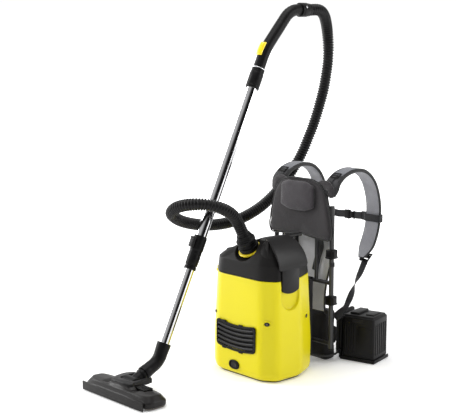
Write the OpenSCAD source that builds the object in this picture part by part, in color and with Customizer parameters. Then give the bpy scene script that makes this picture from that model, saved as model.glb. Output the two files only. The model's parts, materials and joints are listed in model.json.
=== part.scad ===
// Battery backpack vacuum cleaner: bag container with lid, wearable harness,
// hip battery, hose, handle, telescopic wand and floor nozzle.
// Origin: centre of the flat base, +Z up, exhaust grille toward -Y, wearer on +Y.

/* [Container] */
// Width of the container across the latches
cont_w = 262; // [240:1:290]
// Depth of the container
cont_d = 202; // [190:1:220]
// Height of the seam between container and lid
cont_h = 286; // [270:1:300]
// Wall thickness of the mouldings
wall = 3; // [2:0.5:4]
// Inward taper of the container at the seam
cont_taper = 8; // [4:1:10]

/* [Lid] */
// Height of the dome above the seam
dome_h = 106; // [95:1:112]
// Tilt of the hose inlet from vertical, degrees
inlet_tilt = 30; // [20:1:35]
// Bore radius of the hose inlet
inlet_r = 21; // [19:0.5:22]

/* [Hose] */
// Outer diameter of the corrugated hose
hose_d = 34; // [30:1:36]

/* [Wand] */
// Tilt of the wand from vertical, degrees
wand_tilt = 25.8; // [25.6:0.1:26]
// Outer radius of the upper tube
up_r = 16; // [15.5:0.1:16.5]
// Outer radius of the lower tube
low_r = 13.8; // [13:0.1:14]
// Tube wall
tube_wall = 1.1; // [0.8:0.1:1.2]

/* [Nozzle] */
// Width of the floor nozzle
noz_w = 275; // [260:1:300]
// Depth of the floor nozzle
noz_d = 96; // [90:1:100]

/* [Harness] */
// Half spacing of the outer frame tubes
tube_x = 111; // [105:1:115]
// Radius of the outer frame tubes
ftube_r = 7; // [6:0.5:8]
// Width of the shoulder straps
strap_w = 54; // [45:1:60]

/* [Battery] */
// Battery pack width, depth and height
bat_w = 104; // [98:1:106]
bat_d = 92; // [88:1:94]
bat_h = 138; // [130:1:142]

/* [Hidden] */
$fn = 64;
seam_gap = 0.3;
ca = cont_w/2; cb = cont_d/2;
yellow = [0.95,0.87,0.05]; blk = [0.12,0.12,0.13]; dgrey = [0.2,0.2,0.21]; steel = [0.8,0.8,0.82];
inlet_p = [0,-50,352];
wand_p = [-70,-314,113];
noz_p = [-70,-396-noz_d/2,0];
tilt_p = [-70,-425,32];
neck_a = 25;
// handle geometry in the plane x = wand_p.x : two bends and a straight
h_t0 = 90-wand_tilt;
h_s0 = 858;
h_p0 = [wand_p[1]+h_s0*sin(wand_tilt), wand_p[2]+h_s0*cos(wand_tilt)];
h_r1 = 200; h_t1 = 48; h_len = 90; h_r2 = 70;
h_c1 = h_p0+h_r1*[sin(h_t0),-cos(h_t0)];
h_p1 = h_c1+h_r1*[-sin(h_t1),cos(h_t1)];
h_p2 = h_p1+h_len*[cos(h_t1),sin(h_t1)];
h_c2 = h_p2+h_r2*[sin(h_t1),-cos(h_t1)];
h_p3 = h_c2+h_r2*[0,1];
bat_p = [126,298,0];
bat_a = 14;
hinge_x = -(ca-cont_taper)-6.5;
hinge_z = cont_h+2;
piv_x = 84;
piv_z = 399;
hinge_y = -25;
latch_y = -17;

// ---- functions ----
function sgn(v) = v < 0 ? -1 : 1;
function sq(a,b,n=5,k=40) = [for(i=[0:k-1]) let(t=360*(i+0.5)/k) [a*sgn(cos(t))*pow(abs(cos(t)),2/n), b*sgn(sin(t))*pow(abs(sin(t)),2/n)]];
// plan of the container : eight-sided with soft corners, scaled to half sizes a and b
plan_v = [[90,-101],[131,-72],[131,22],[96,101],[-96,101],[-131,22],[-131,-72],[-90,-101]];
function plan(a,b,L=15,m=4) = [for(i=[0:7]) let(c=plan_v[i], p=plan_v[(i+7)%8], q=plan_v[(i+1)%8], u=c+unit(p-c)*L, w=c+unit(q-c)*L)
  for(k=[0:m]) let(t=k/m, g=(1-t)*(1-t)*u+2*t*(1-t)*c+t*t*w) [g[0]*a/131,g[1]*b/101]];
function cr(a,b,c,d,t) = 0.5*((2*b)+(c-a)*t+(2*a-5*b+4*c-d)*t*t+(3*b-a-3*c+d)*t*t*t);
function smooth(p,n) = concat([for(i=[0:len(p)-2]) for(k=[0:n-1]) cr(p[max(i-1,0)],p[i],p[i+1],p[min(i+2,len(p)-1)],k/n)],[p[len(p)-1]]);
function unit(v) = v/norm(v);
function tang(p,i) = unit(p[min(i+1,len(p)-1)]-p[max(i-1,0)]);
function nrm(p,i) = let(t=tang(p,i)) [-t[1],t[0]];
function band(p,h) = concat([for(i=[0:len(p)-1]) p[i]+nrm(p,i)*h],[for(i=[len(p)-1:-1:0]) p[i]-nrm(p,i)*h]);
function carry(T,n0,i=0,acc=[]) = i==len(T) ? acc : let(v=i==0?n0:acc[i-1], w=v-T[i]*(v*T[i])) carry(T,n0,i+1,concat(acc,[unit(w)]));

// hose route from the lid cuff to the handle collar
hose_route = [[0,-80.8,405.3],[0,-100.7,439.8],[6,-128,466],[4,-160,485],[-11,-191,496],[-35,-215,499],[-67,-231,495],
 [-101,-234,485],[-134,-224,470],[-163,-202,455],[-183,-173,439],[-197,-139,424],[-204,-102,412],[-208,-64,403],
 [-207,-25,397],[-204,15,395],[-200,54,397],[-197,92,403],[-194,130,414],[-190,166,429],[-187,200,448],[-182,231,472],
 [-177,259,499],[-171,284,529],[-165,306,561],[-158,324,595],[-150,337,632],[-141,348,669],[-132,356,707],
 [-123,362,746],[-113,365,785],[-105,366,825],[-100,368,865],[-101,371,906],[-99,365,947],[-91,349,983],[-79,324,1009],
 [-70,292.3,1022.3],[-70,252.4,1022.3]];

// ---- helpers ----
module slab(z,a,b,n=5) translate([0,0,z]) linear_extrude(0.4) polygon(n==5 ? plan(a,b) : sq(a,b,n));
module cont_form(i=0,z0=3,z1=cont_h-0.4) hull() {
  slab(z0,ca-12-i,cb-12-i); slab(z0+7,ca-3.5-i,cb-3.5-i); slab(z0+20,ca-0.8-i,cb-0.8-i); slab(z0+90,ca-i,cb-i);
  slab(z1,ca-cont_taper-i,cb-cont_taper-i); }
module lid_form(i=0,z0=cont_h+seam_gap,dz=0) hull() {
  slab(z0,ca-cont_taper-i,cb-cont_taper-i); slab(cont_h+42-dz,ca-12-i,cb-12-i); slab(cont_h+54-dz,ca-24-i,cb-23-i);
  translate([22,-10,0]) slab(cont_h+78-dz,84-i,60-i,3); translate([52,-12,0]) slab(cont_h+dome_h-0.4-dz,30-i,44-i,3); }
module inlet() translate(inlet_p) rotate([inlet_tilt,0,0]) children();
module tube(r,ri,z0,z1) difference() { translate([0,0,z0]) cylinder(r=r,h=z1-z0); translate([0,0,z0-1]) cylinder(r=ri,h=z1-z0+2); }
module rbox(x,y,z,r=3) linear_extrude(z) polygon(concat(
  [for(a=[0:15:90]) [x/2-r+r*cos(a),y/2-r+r*sin(a)]],[for(a=[90:15:180]) [-x/2+r+r*cos(a),y/2-r+r*sin(a)]],
  [for(a=[180:15:270]) [-x/2+r+r*cos(a),-y/2+r+r*sin(a)]],[for(a=[270:15:360]) [x/2-r+r*cos(a),-y/2+r+r*sin(a)]]));
module wand() translate(wand_p) rotate([-wand_tilt,0,0]) children();
module yz() rotate([90,0,90]) children();
module arc(c,r,a0,a1,ro,ri=0) translate([wand_p[0],c[0],c[1]]) yz() rotate(a0) difference() {
  rotate_extrude(angle=a1-a0) translate([r,0]) circle(r=ro);
  if (ri > 0) rotate([0,0,-1]) rotate_extrude(angle=a1-a0+2) translate([r,0]) circle(r=ri); }
module tilted(c=tilt_p,a=neck_a) translate(c) rotate([-(90-a),0,0]) children();
module finger_cut() translate([ca-14,latch_y,0]) { translate([0,-34.5,235]) cube([40,69,cont_h-233]); translate([0,0,235]) rotate([0,90,0]) cylinder(r=34.5,h=40); }
module mir() { children(); mirror([1,0,0]) children(); }
module batt() translate(bat_p) rotate([0,0,bat_a]) children();

// ---- container ----
module container_shell() color(yellow) difference() {
  union() {
    difference() { cont_form(0); cont_form(wall,6,cont_h+1); }
    intersection() { cont_form(1); translate([ca-19,latch_y-38,192]) cube([30,76,cont_h-192.1]); }
    for(s=[-1,1]) hinge_lug(hinge_y+s*29,13,-12);
  }
  finger_cut();
  translate([-80,-cb-5,81]) cube([147,30,65]);
  translate([-14,-cb+10,31]) rotate([90,0,0]) linear_extrude(30) polygon(sq(14.4,11.4,2.4));
  corners() translate([0,0,-8]) cylinder(r=3.1,h=30);
  hinge_bore(2.5);
}
module corners() mir() { translate([104,-88,168]) rotate([0,0,-54.7]) rotate([0,90,0]) children(); translate([110.9,60.3,168]) rotate([0,0,23.9]) rotate([0,90,0]) children(); }
module hinge_lug(y,w,dz) { translate([hinge_x,y,hinge_z]) rotate([90,0,0]) cylinder(r=5.5,h=w,center=true); translate([hinge_x-5.5,y-w/2,hinge_z+min(dz,0)]) cube([dz>0?14:10.8,w,abs(dz)]); if (dz<0) translate([hinge_x,y-w/2,hinge_z+dz]) cube([7,w,9]); }
module hinge_bore(r) translate([hinge_x,hinge_y,hinge_z]) rotate([90,0,0]) cylinder(r=r,h=120,center=true);
module base_plate() color(blk) difference() { linear_extrude(2.8) polygon(plan(ca-14,cb-14)); for(s=[-1,1]) for(t=[-1,1]) translate([s*80,t*60,-1]) cylinder(r=2.2,h=5); }
module exhaust_grille() color(blk) difference() {
  intersection() { cont_form(-2.8,1,cont_h+2); translate([-6.5,-70,113.5]) rotate([90,0,0]) rbox(158,73,60,8); }
  cont_form(-0.15,1.5,cont_h+3);
  for(k=[0:4]) translate([-78,-cb-20,84.5+k*12]) cube([143,50,6.5]);
}
module exhaust_filter() color("dimgray") translate([-8,-82,80]) { for(k=[0:13]) translate([-66+k*10,0,0]) cube([6,9,62]); translate([-66,6,0]) cube([136,3,62]); }
module switch_bezel() color(blk) difference() {
  union() { translate([-14,-cb-0.4,31]) rotate([90,0,0]) linear_extrude(3) polygon(sq(17,14,2.4));
            translate([-14,-cb+8,31]) rotate([90,0,0]) linear_extrude(9) polygon(sq(14.2,11.2,2.4)); }
  translate([-14,-cb+10,31]) rotate([90,0,0]) linear_extrude(20) polygon(sq(12,9.5,2.4)); }
module rocker_switch() color(dgrey) { translate([-14,-cb+3,31]) rotate([90,0,0]) linear_extrude(7.5) polygon(sq(11.2,8.8,2.4)); translate([-14,-cb+0.5,31-9.3]) cylinder(r=1.5,h=18.6); }
module corner_screws() color(steel) corners() difference() { union() { translate([0,0,-1.2]) cylinder(r=2.9,h=3.6); translate([0,0,-14]) cylinder(r=1.8,h=13); } translate([-0.5,-2.2,1.6]) cube([1,4.4,3]); translate([-2.2,-0.5,1.6]) cube([4.4,1,3]); }
module motor_housing() color(blk) translate([15,0,0]) difference() { tube(62,58,8,145.6); translate([-80,-80,20]) cube([30,160,60]); }
module motor() color("gray") translate([15,0,0]) tube(42,5.2,14,98);
module impeller() color(steel) translate([15,0,0]) { translate([0,0,12]) cylinder(r=5,h=94); translate([0,0,106]) cylinder(r=50,h=3); translate([0,0,123]) difference() { cylinder(r=50,h=2); translate([0,0,-1]) cylinder(r=20,h=4);}
  for(a=[0:45:315]) rotate([0,0,a]) translate([18,-1,109]) cube([31,2,14]); }
module motor_deck() color(dgrey) difference() { translate([0,0,146]) linear_extrude(4) polygon(plan(ca-wall-3.6,cb-wall-3.6)); translate([15,0,140]) cylinder(r=48,h=20); }
module motor_filter() color("darkslategray") translate([15,0,150.3]) cylinder(r=56,h=7);
module filter_basket() color(dgrey) difference() { hull() { slab(159,ca-22,cb-22); slab(276,ca-20,cb-20); } hull() { slab(161.5,ca-24.5,cb-24.5); slab(278,ca-22.5,cb-22.5); }
  for(k=[-3:3]) translate([k*26-8,-150,178]) cube([16,300,80]); }
module filter_bag() color("beige") hull() { slab(166,70,50); slab(194,96,66); slab(246,95,65); slab(268,60,40); }
module control_board() color("darkgreen") { translate([-60,78,20]) cube([110,1.8,85]); translate([-40,68,30]) cube([30,9.8,24]); translate([0,66,62]) cube([36,11.8,16]); }

// ---- lid ----
module scoop(r,s) inlet() translate([0,0,s]) cylinder(r=r,h=90);
module lug(y) { translate([piv_x-6,y,345]) cube([12,6,piv_z-345]); translate([piv_x,y+6,piv_z]) rotate([90,0,0]) cylinder(r=5.5,h=6); }
module lid_shell() color(blk) difference() {
  union() {
    difference() {
      difference() { lid_form(0); scoop(43,-6); }
      difference() { lid_form(wall,cont_h-1,wall); scoop(46,-6-wall); }
    }
    intersection() { lid_form(1); translate([ca-19,latch_y-38,cont_h+seam_gap]) cube([30,76,44]); }
    difference() { for(y=[-71,45]) lug(y); lid_form(wall,cont_h-1,wall); }
    hinge_lug(hinge_y,42,12);
  }
  inlet() translate([0,0,-40]) cylinder(r=27.2,h=60);
  translate([ca-14,latch_y-34.5,cont_h-2]) cube([20,69,46]);
  hinge_bore(2.55);
  translate([piv_x,0,piv_z]) rotate([90,0,0]) cylinder(r=2.5,h=300,center=true);
}
module lid_hinge_pin() color(steel) translate([hinge_x,hinge_y,hinge_z]) rotate([90,0,0]) cylinder(r=2.5,h=70,center=true);
module lid_gasket() color("gray") difference() {  translate([0,0,cont_h-5]) linear_extrude(4.9) polygon(plan(ca-cont_taper-wall-2,cb-cont_taper-wall-2)); translate([0,0,cont_h-6]) linear_extrude(7) polygon(plan(ca-cont_taper-wall-7,cb-cont_taper-wall-7)); translate([ca-25,latch_y-41,cont_h-8]) cube([32,82,10]); }
module inlet_duct() color(blk) inlet() difference() { union() { translate([0,0,-34]) cylinder(r=27,h=48); } translate([0,0,-35]) cylinder(r=inlet_r,h=60); }
module inlet_ring() color(yellow) inlet() tube(32.5,27.1,5,9.5);
module hose_cuff() color(blk) inlet() difference() {
  union() { translate([0,0,-12]) cylinder(r=inlet_r-0.08,h=27); translate([0,0,14.3]) cylinder(r=29,h=9); translate([0,0,23]) cylinder(r=25,h=14); translate([0,0,36]) cylinder(r=27.5,h=9); translate([0,0,45]) cylinder(r1=24,r2=20,h=15); }
  translate([0,0,-13]) cylinder(r=13,h=80); }
module latch_pin() color(steel) translate([piv_x,51,piv_z]) rotate([90,0,0]) cylinder(r=2.5,h=122);
module latch_lever() color(dgrey) difference() {
  union() {
    translate([0,44,0]) rotate([90,0,0]) linear_extrude(108) polygon([[128,316],[127.5,332],[120,356],[107,380],[94,397],[86,404],[80,404],[76,400],[78,395],[84,393.5],[90,392.5],[103.5,376.5],[115.5,353.5],[122.5,331],[123,316]]);
    translate([ca-12,latch_y-33,280]) cube([9,66,47]);
    translate([ca-12,latch_y,280]) rotate([0,90,0]) cylinder(r=33,h=9);
  }
  translate([piv_x,0,piv_z]) rotate([90,0,0]) cylinder(r=2.55,h=300,center=true);
  lid_form(-1.5,cont_h+44);
}

// ---- hose ----
module sweep(pts,r,m) { T = [for(i=[0:len(pts)-1]) tang(pts,i)]; N = carry(T,[1,0,0]); n = len(pts);
  V = concat([for(i=[0:n-1]) let(B=cross(T[i],N[i])) for(k=[0:m-1]) pts[i]+r*(cos(360*k/m)*N[i]+sin(360*k/m)*B)]);
  F = concat([[for(k=[0:m-1]) k]],[for(i=[0:n-2]) for(k=[0:m-1]) let(j=(k+1)%m) [i*m+k,(i+1)*m+k,(i+1)*m+j,i*m+j]],[[for(k=[m-1:-1:0]) (n-1)*m+k]]);
  polyhedron(V,F); }
module hose() color(dgrey) sweep(smooth(hose_route,2),hose_d/2,12);
module hose_collar() color(blk) translate([wand_p[0],0,h_p3[1]]) rotate([-90,0,0]) difference() {
  union() { translate([0,0,208.7]) cylinder(r=20.5,h=29.3); translate([0,0,238]) cylinder(r1=20.5,r2=18,h=12); }
  translate([0,0,207]) cylinder(r=16.6,h=19.6); translate([0,0,207]) cylinder(r=13,h=50); }

// ---- handle and wand ----
function inplane(p) = [wand_p[0],p[0],p[1]];
function on_wand(q) = [wand_p[1]+q*sin(wand_tilt), wand_p[2]+q*cos(wand_tilt)];
function handle_path(e) = [for(p=concat([on_wand(824.1-e),on_wand(h_s0-8)],
  [for(k=[0:4]) let(a=h_t0+90-(h_t0-h_t1)*k/4) h_c1+h_r1*[cos(a),sin(a)]],
  [h_p1+8*[cos(h_t1),sin(h_t1)], h_p2-5*[cos(h_t1),sin(h_t1)]],
  [for(k=[0:7]) let(a=h_t1+90-h_t1*k/7) h_c2+h_r2*[cos(a),sin(a)]],
  [h_p3+[2.5,0], h_p3+[5+e,0]])) inplane(p)];
module handle_pipe() color(blk) {
  difference() { sweep(handle_path(0),16.8,24); sweep(handle_path(3),14.2,24); }
  translate([wand_p[0],h_p3[0]+4.5,h_p3[1]]) rotate([-90,0,0]) tube(16.5,14.5,0,226-h_p3[0]-4.5);
}
module air_slider() color(yellow) translate([wand_p[0],h_c1[0],h_c1[1]]) yz() rotate(143) rotate_extrude(angle=10) polygon([[h_r1+17.2,-9],[h_r1+22,-9],[h_r1+25,-5],[h_r1+25,5],[h_r1+22,9],[h_r1+17.2,9]]);
module tube_socket() color(blk) wand() difference() { union() { tube(19.5,16.05,765,812); tube(18.5,15,812.1,824); } translate([0,10,795]) rotate([-90,0,0]) cylinder(r=4.4,h=20); }
module catch_button() color(dgrey) wand() translate([0,0,795]) rotate([-90,0,0]) difference() { translate([0,0,18.3]) cylinder(r=4,h=4.2); }
module upper_tube() color(steel) wand() tube(up_r,up_r-tube_wall,258,811.9);
module lock_sleeve() color(blk) wand() difference() { union() { translate([0,0,235]) cylinder(r1=17.5,r2=19.5,h=12); translate([0,0,247]) cylinder(r=19.5,h=73); }
  translate([0,0,230]) cylinder(r=low_r+0.1,h=100); translate([0,0,258]) cylinder(r=up_r+0.05,h=80); }
module release_slider() color(dgrey) wand() translate([0,-24.2,282]) rotate([0,0,0]) { translate([-8,-3.6,0]) cube([16,8,30]); translate([-8,-6,24]) cube([16,4,6]); }
module lower_tube() color(steel) wand() tube(low_r,low_r-tube_wall,-9.9,330);
e_p = [tilt_p[1],tilt_p[2]]+85*[cos(neck_a),sin(neck_a)];
e_c = e_p+50*[-sin(neck_a),cos(neck_a)];
function elbow_path(e) = [for(p=concat([[tilt_p[1],tilt_p[2]]+(46-e)*[cos(neck_a),sin(neck_a)],[tilt_p[1],tilt_p[2]]+70*[cos(neck_a),sin(neck_a)]],
  [for(k=[0:5]) let(a=neck_a-90+(h_t0-neck_a)*k/5) e_c+50*[cos(a),sin(a)]],
  [on_wand(-17),on_wand(-10+e)])) inplane(p)];
module nozzle_elbow() color(blk) {
  wand() difference() { translate([0,0,-10.5]) cylinder(r=18,h=20.5); translate([0,0,-11.5]) cylinder(r=low_r+0.05,h=30); }
  difference() { sweep(elbow_path(0),18.3,24); sweep(elbow_path(3),11.8,24); }
}
module nozzle_neck() color(blk) difference() {
  union() { translate(tilt_p) rotate([0,90,0]) cylinder(r=20,h=46,center=true); tilted() cylinder(r=15.5,h=38); tilted() translate([0,0,36]) cylinder(r=17.5,h=9.7); }
  tilted() translate([0,0,5]) cylinder(r=11.5,h=60); translate(tilt_p) rotate([0,90,0]) cylinder(r=4.05,h=60,center=true); }
module neck_pin() color(steel) translate(tilt_p) rotate([0,90,0]) cylinder(r=4,h=68,center=true);

// ---- floor nozzle ----
module nz() translate(noz_p) children();
module nslab(z,a,b,y=0,n=4) translate([0,y,z]) linear_extrude(0.4) polygon(sq(a,b,n));
module nozzle_housing() color(blk) difference() {
  union() {
    nz() hull() { nslab(5,noz_w/2,noz_d/2); nslab(17,noz_w/2,noz_d/2,0); nslab(30,noz_w/2-12,noz_d/2-14,2); }
    nz() hull() { nslab(8,62,noz_d/2-1); nslab(34,52,noz_d/2-16,2,3); nslab(44,36,22,2,2.5); }
  }
  nz() translate([-noz_w/2+14,-noz_d/2+12,3]) cube([noz_w-28,34,16]);
  nz() translate([-20,-20,4]) cube([40,28,22]);
  translate(tilt_p) rotate([0,90,0]) cylinder(r=21.5,h=49,center=true);
  translate([tilt_p[0]-24.5,tilt_p[1],13]) cube([49,60,60]);
  translate(tilt_p) rotate([0,90,0]) cylinder(r=21.5,h=49,center=true);
  nz() for(s=[-1,1]) translate([s*70-8,noz_d/2-25,-1]) cube([16,30,20]);
  translate(tilt_p) rotate([0,90,0]) cylinder(r=4,h=68.4,center=true);
  nz() translate([-80,noz_d/2-14,7]) rotate([0,90,0]) cylinder(r=2.05,h=160);
  nz() translate([38,-2,24]) cube([46,30,30]);
  nz() translate([-noz_w/2+8,-noz_d/2+3,-1]) cube([noz_w-16,6.5,16.5]);
  nz() translate([-noz_w/2+12,noz_d/2-36,-1]) cube([62,7,16.5]);
  nz() translate([noz_w/2-74,noz_d/2-36,-1]) cube([62,7,16.5]);
}
module nozzle_sole() color(steel) nz() difference() { translate([0,0,1.5]) linear_extrude(3.2) polygon(sq(noz_w/2-3,noz_d/2-3,4));
  translate([-noz_w/2+14,-noz_d/2+12,0]) cube([noz_w-28,30,9]); for(s=[-1,1]) translate([s*70-8,noz_d/2-25,-1]) cube([16,30,20]);
  translate([-noz_w/2+8,-noz_d/2+3,-1]) cube([noz_w-16,6.5,16.5]); translate([-noz_w/2+12,noz_d/2-36,-1]) cube([62,7,16.5]); translate([noz_w/2-74,noz_d/2-36,-1]) cube([62,7,16.5]); 
  translate([-24.5,noz_d/2-4,-1]) cube([49,20,20]); }
module centre_cover() color(dgrey) nz() translate([0,2,44.7]) linear_extrude(3) difference() { polygon(sq(33,19,2.5)); translate([-24.8,-2.6]) square([49.6,40]); }
module brush_strips() color([0.25,0.25,0.26]) nz() { translate([-noz_w/2+9,-noz_d/2+4,0.3]) cube([noz_w-18,4.5,8]); translate([-noz_w/2+13,noz_d/2-35,0.3]) cube([60,5,8]); translate([noz_w/2-73,noz_d/2-35,0.3]) cube([60,5,8]); }
module foot_pedal() color(blk) nz() translate([39,-1,31.5]) difference() { cube([44,28,7]); translate([-1,14,3.5]) rotate([0,90,0]) cylinder(r=1.5,h=3); }
module rollers() color("gray") nz() { translate([-79.5,noz_d/2-14,7]) rotate([0,90,0]) cylinder(r=2,h=159); for(s=[-1,1]) translate([s*70-6,noz_d/2-14,7]) rotate([0,90,0]) cylinder(r=7,h=12); }

// ---- harness ----
module carrier_plate() color(blk) difference() {
  union() { translate([-82,cb+0.6,46]) cube([164,16,214]); for(z=[66,245]) translate([-40,cb+16,z-8]) cube([80,46,16]); }
  translate([-60,cb-2,110]) cube([120,30,110]);
  for(z=[66,245]) translate([-60,164,z]) rotate([0,90,0]) cylinder(r=6.05,h=120); }
module frame_tubes() color(blk) {
  mir() translate([tube_x,164,52]) cylinder(r=ftube_r,h=418);
  mir() translate([52,164,245]) cylinder(r=5.5,h=225);
  for(z=[66,245]) translate([-tube_x,164,z]) rotate([0,90,0]) cylinder(r=6,h=2*tube_x);
}
module frame_clamps() color(blk) mir() for(z=[182,318]) translate([tube_x,164,z]) difference() { translate([-12,-13,0]) rotate([0,0,0]) cube([24,25,26]); translate([0,0,-1]) cylinder(r=ftube_r+0.05,h=40); }
module back_mesh() color([0.6,0.6,0.62]) translate([0,178,0]) rotate([-90,0,0]) linear_extrude(3) polygon([[-96,-150],[-101,-260],[-97,-372],[97,-372],[101,-260],[96,-150]]);
module lumbar_pad() color(dgrey) hull() { for(s=[-88,66]) for(z=[12,142]) translate([s,0,z]) { translate([0,194,0]) sphere(r=12,$fn=24); translate([0,218,0]) sphere(r=11,$fn=24); } translate([-20,190,130]) sphere(r=11,$fn=24); }
module wing() hull() for(y=[-34,56]) for(z=[22,128]) translate([0,y,z]) rotate([0,90,0]) cylinder(r=14-(y>0?2:0),h=9,$fn=24);
module hip_wings() color(dgrey) { batt() translate([-bat_w/2-22,0,0]) wing(); mirror([1,0,0]) translate([89,277,0]) rotate([0,0,6]) wing(); }
module back_panel() color(dgrey) translate([0,156,0]) rotate([90,0,0]) linear_extrude(11) polygon([[-123,374],[-127,392],[-120,440],[-104,500],[-80,532],[-40,546],[40,546],[80,532],[104,500],[120,440],[127,392],[123,374],[70,370],[0,376],[-70,370]]);
module pillow_pad() color(dgrey) hull() for(s=[-1,1]) { translate([s*58,0,0]) { translate([0,136,466]) sphere(r=8,$fn=24); translate([0,137,520]) sphere(r=7,$fn=24);} translate([s*30,135,458]) sphere(r=9,$fn=24); translate([s*34,135,527]) sphere(r=9,$fn=24); }
strap_path = smooth([[164.5,512],[176,534],[205,550],[250,557],[295,549],[334,519],[357,472],[362,422],[352,372],[330,330],[304,300]],3);
module strap() rotate([0,0,0]) translate([tube_x-6-strap_w/2,0,0]) yz() linear_extrude(strap_w) polygon(band(strap_path,6.5));
module strap_cut() { translate([0,0,395]) linear_extrude(24) difference() { polygon(sq(160,390,2)); polygon(sq(1,1,2)); } }
module strap_right() color(dgrey) strap();
module strap_left() color(dgrey) mirror([1,0,0]) strap();
module sternum_strap() color(blk) { translate([16,369.5,404]) cube([122,1.6,22]); translate([-138,369.5,404]) cube([122,1.6,22]); 
  mir() { translate([136.5,346,404]) cube([1.5,23.5,22]); translate([-138,0,0]) translate([211.5,346,404]) cube([1.5,23.5,22]); } }
module sternum_buckle() color(blk) { translate([-15.7,366,401]) cube([31.4,8.5,28]); }
module strap_ladderlocks() color(blk) mir() translate([tube_x-6,327,294]) rotate([-50,0,0]) difference() { translate([-17,-11,-14]) cube([34,5,28]); translate([-13,-12,-8]) cube([26,7,4]); translate([-13,-12,3]) cube([26,7,4]); }
web_path = [[232,158],[262,200],[296,250],[318,282]];
module strap_webbing() color(blk) mir() translate([tube_x-6-12.5,0,0]) yz() linear_extrude(25) polygon(band(web_path,1));

// ---- battery ----
module battery_holder() color(blk) batt() difference() {
  union() { translate([0,0,0]) rbox(bat_w+8,bat_d+8,6,6); translate([-bat_w/2-12,-bat_d/2,0]) cube([9,bat_d,bat_h-14]); }
  translate([-bat_w/2-13,-20,30]) cube([6,40,70]); }
module battery_pack() color(blk) batt() difference() {
  union() { translate([0,0,6.5]) rbox(bat_w,bat_d,bat_h-8,8); translate([0,0,bat_h-1.5]) rbox(bat_w-10,bat_d-12,6,6); }
  for(k=[0:5]) translate([bat_w/2-1.6,-bat_d/2+12+k*13,24]) cube([6,5,bat_h-44]);
  translate([-18,-bat_d/2-1,bat_h-22]) cube([36,8.5,12]); }
cable_route = [[40,101.4,34],[41,122,32],[49,146,26],[66,168,20],[84,190,19],[88,214,22],[82.5,237,28]];
module battery_cable() color(blk) sweep(smooth(cable_route,3),3,8);
module battery_release() color(dgrey) batt() translate([-17,-bat_d/2-1.5,bat_h-21.5]) cube([34,4,11]);

container_shell();
base_plate();
exhaust_grille();
exhaust_filter();
switch_bezel();
rocker_switch();
corner_screws();
motor_housing();
motor();
impeller();
motor_deck();
motor_filter();
filter_basket();
filter_bag();
control_board();
lid_shell();
lid_gasket();
lid_hinge_pin();
inlet_duct();
inlet_ring();
hose_cuff();
latch_pin();
latch_lever();
hose();
hose_collar();
handle_pipe();
air_slider();
tube_socket();
catch_button();
upper_tube();
lock_sleeve();
release_slider();
lower_tube();
nozzle_elbow();
nozzle_neck();
neck_pin();
nozzle_housing();
nozzle_sole();
centre_cover();
brush_strips();
foot_pedal();
rollers();
carrier_plate();
frame_tubes();
frame_clamps();
back_mesh();
lumbar_pad();
hip_wings();
back_panel();
pillow_pad();
strap_right();
strap_left();
sternum_strap();
sternum_buckle();
strap_ladderlocks();
strap_webbing();
battery_holder();
battery_pack();
battery_release();
battery_cable();
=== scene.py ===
import bpy, bmesh, math, json
import numpy as np
from mathutils import Vector, Matrix, Euler

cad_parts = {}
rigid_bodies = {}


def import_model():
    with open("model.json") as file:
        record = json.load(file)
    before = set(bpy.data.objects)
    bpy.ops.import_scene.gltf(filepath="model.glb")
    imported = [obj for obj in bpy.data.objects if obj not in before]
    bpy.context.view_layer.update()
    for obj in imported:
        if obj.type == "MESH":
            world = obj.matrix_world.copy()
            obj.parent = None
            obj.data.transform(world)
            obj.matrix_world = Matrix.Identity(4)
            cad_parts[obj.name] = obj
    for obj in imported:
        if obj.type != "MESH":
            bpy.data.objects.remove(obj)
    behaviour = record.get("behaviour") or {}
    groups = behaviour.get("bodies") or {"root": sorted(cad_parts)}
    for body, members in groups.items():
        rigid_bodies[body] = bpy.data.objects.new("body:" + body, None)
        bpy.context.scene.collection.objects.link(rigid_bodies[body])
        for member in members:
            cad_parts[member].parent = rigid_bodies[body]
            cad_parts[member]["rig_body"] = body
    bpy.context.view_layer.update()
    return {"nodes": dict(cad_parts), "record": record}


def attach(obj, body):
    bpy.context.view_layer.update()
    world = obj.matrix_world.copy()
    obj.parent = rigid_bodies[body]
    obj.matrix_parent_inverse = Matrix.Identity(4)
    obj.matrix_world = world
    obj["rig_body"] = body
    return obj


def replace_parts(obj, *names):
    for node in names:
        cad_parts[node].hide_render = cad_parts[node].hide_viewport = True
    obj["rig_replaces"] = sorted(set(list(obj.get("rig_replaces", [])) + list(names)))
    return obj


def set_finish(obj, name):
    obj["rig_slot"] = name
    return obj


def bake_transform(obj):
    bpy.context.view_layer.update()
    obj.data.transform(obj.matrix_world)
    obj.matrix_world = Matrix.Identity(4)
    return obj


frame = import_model()
NODES = frame["nodes"]
MM = 0.001
RNG = np.random.RandomState(7)

# ------------------------------------------------------------------ camera
sc = bpy.context.scene
cam_d = bpy.data.cameras.new("cam")
cam_d.sensor_fit = "HORIZONTAL"
cam_d.sensor_width = 36.0
cam_d.lens = 1135.34 / 461 * 36.0
cam_d.clip_end = 60
cam = bpy.data.objects.new("cam", cam_d)
cam.location = (2.25355, -2.21459, 0.98025)
cam.rotation_euler = Euler((math.radians(90 - 9.159), 0, math.radians(47.205)), "XYZ")
sc.collection.objects.link(cam)
sc.camera = cam
sc.view_settings.view_transform = "Standard"
sc.view_settings.look = "None"

# ------------------------------------------------------------------ materials
MATS = {}


def nd(nt, kind, **kw):
    n = nt.nodes.new(kind)
    for k, v in kw.items():
        setattr(n, k, v)
    return n


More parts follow.
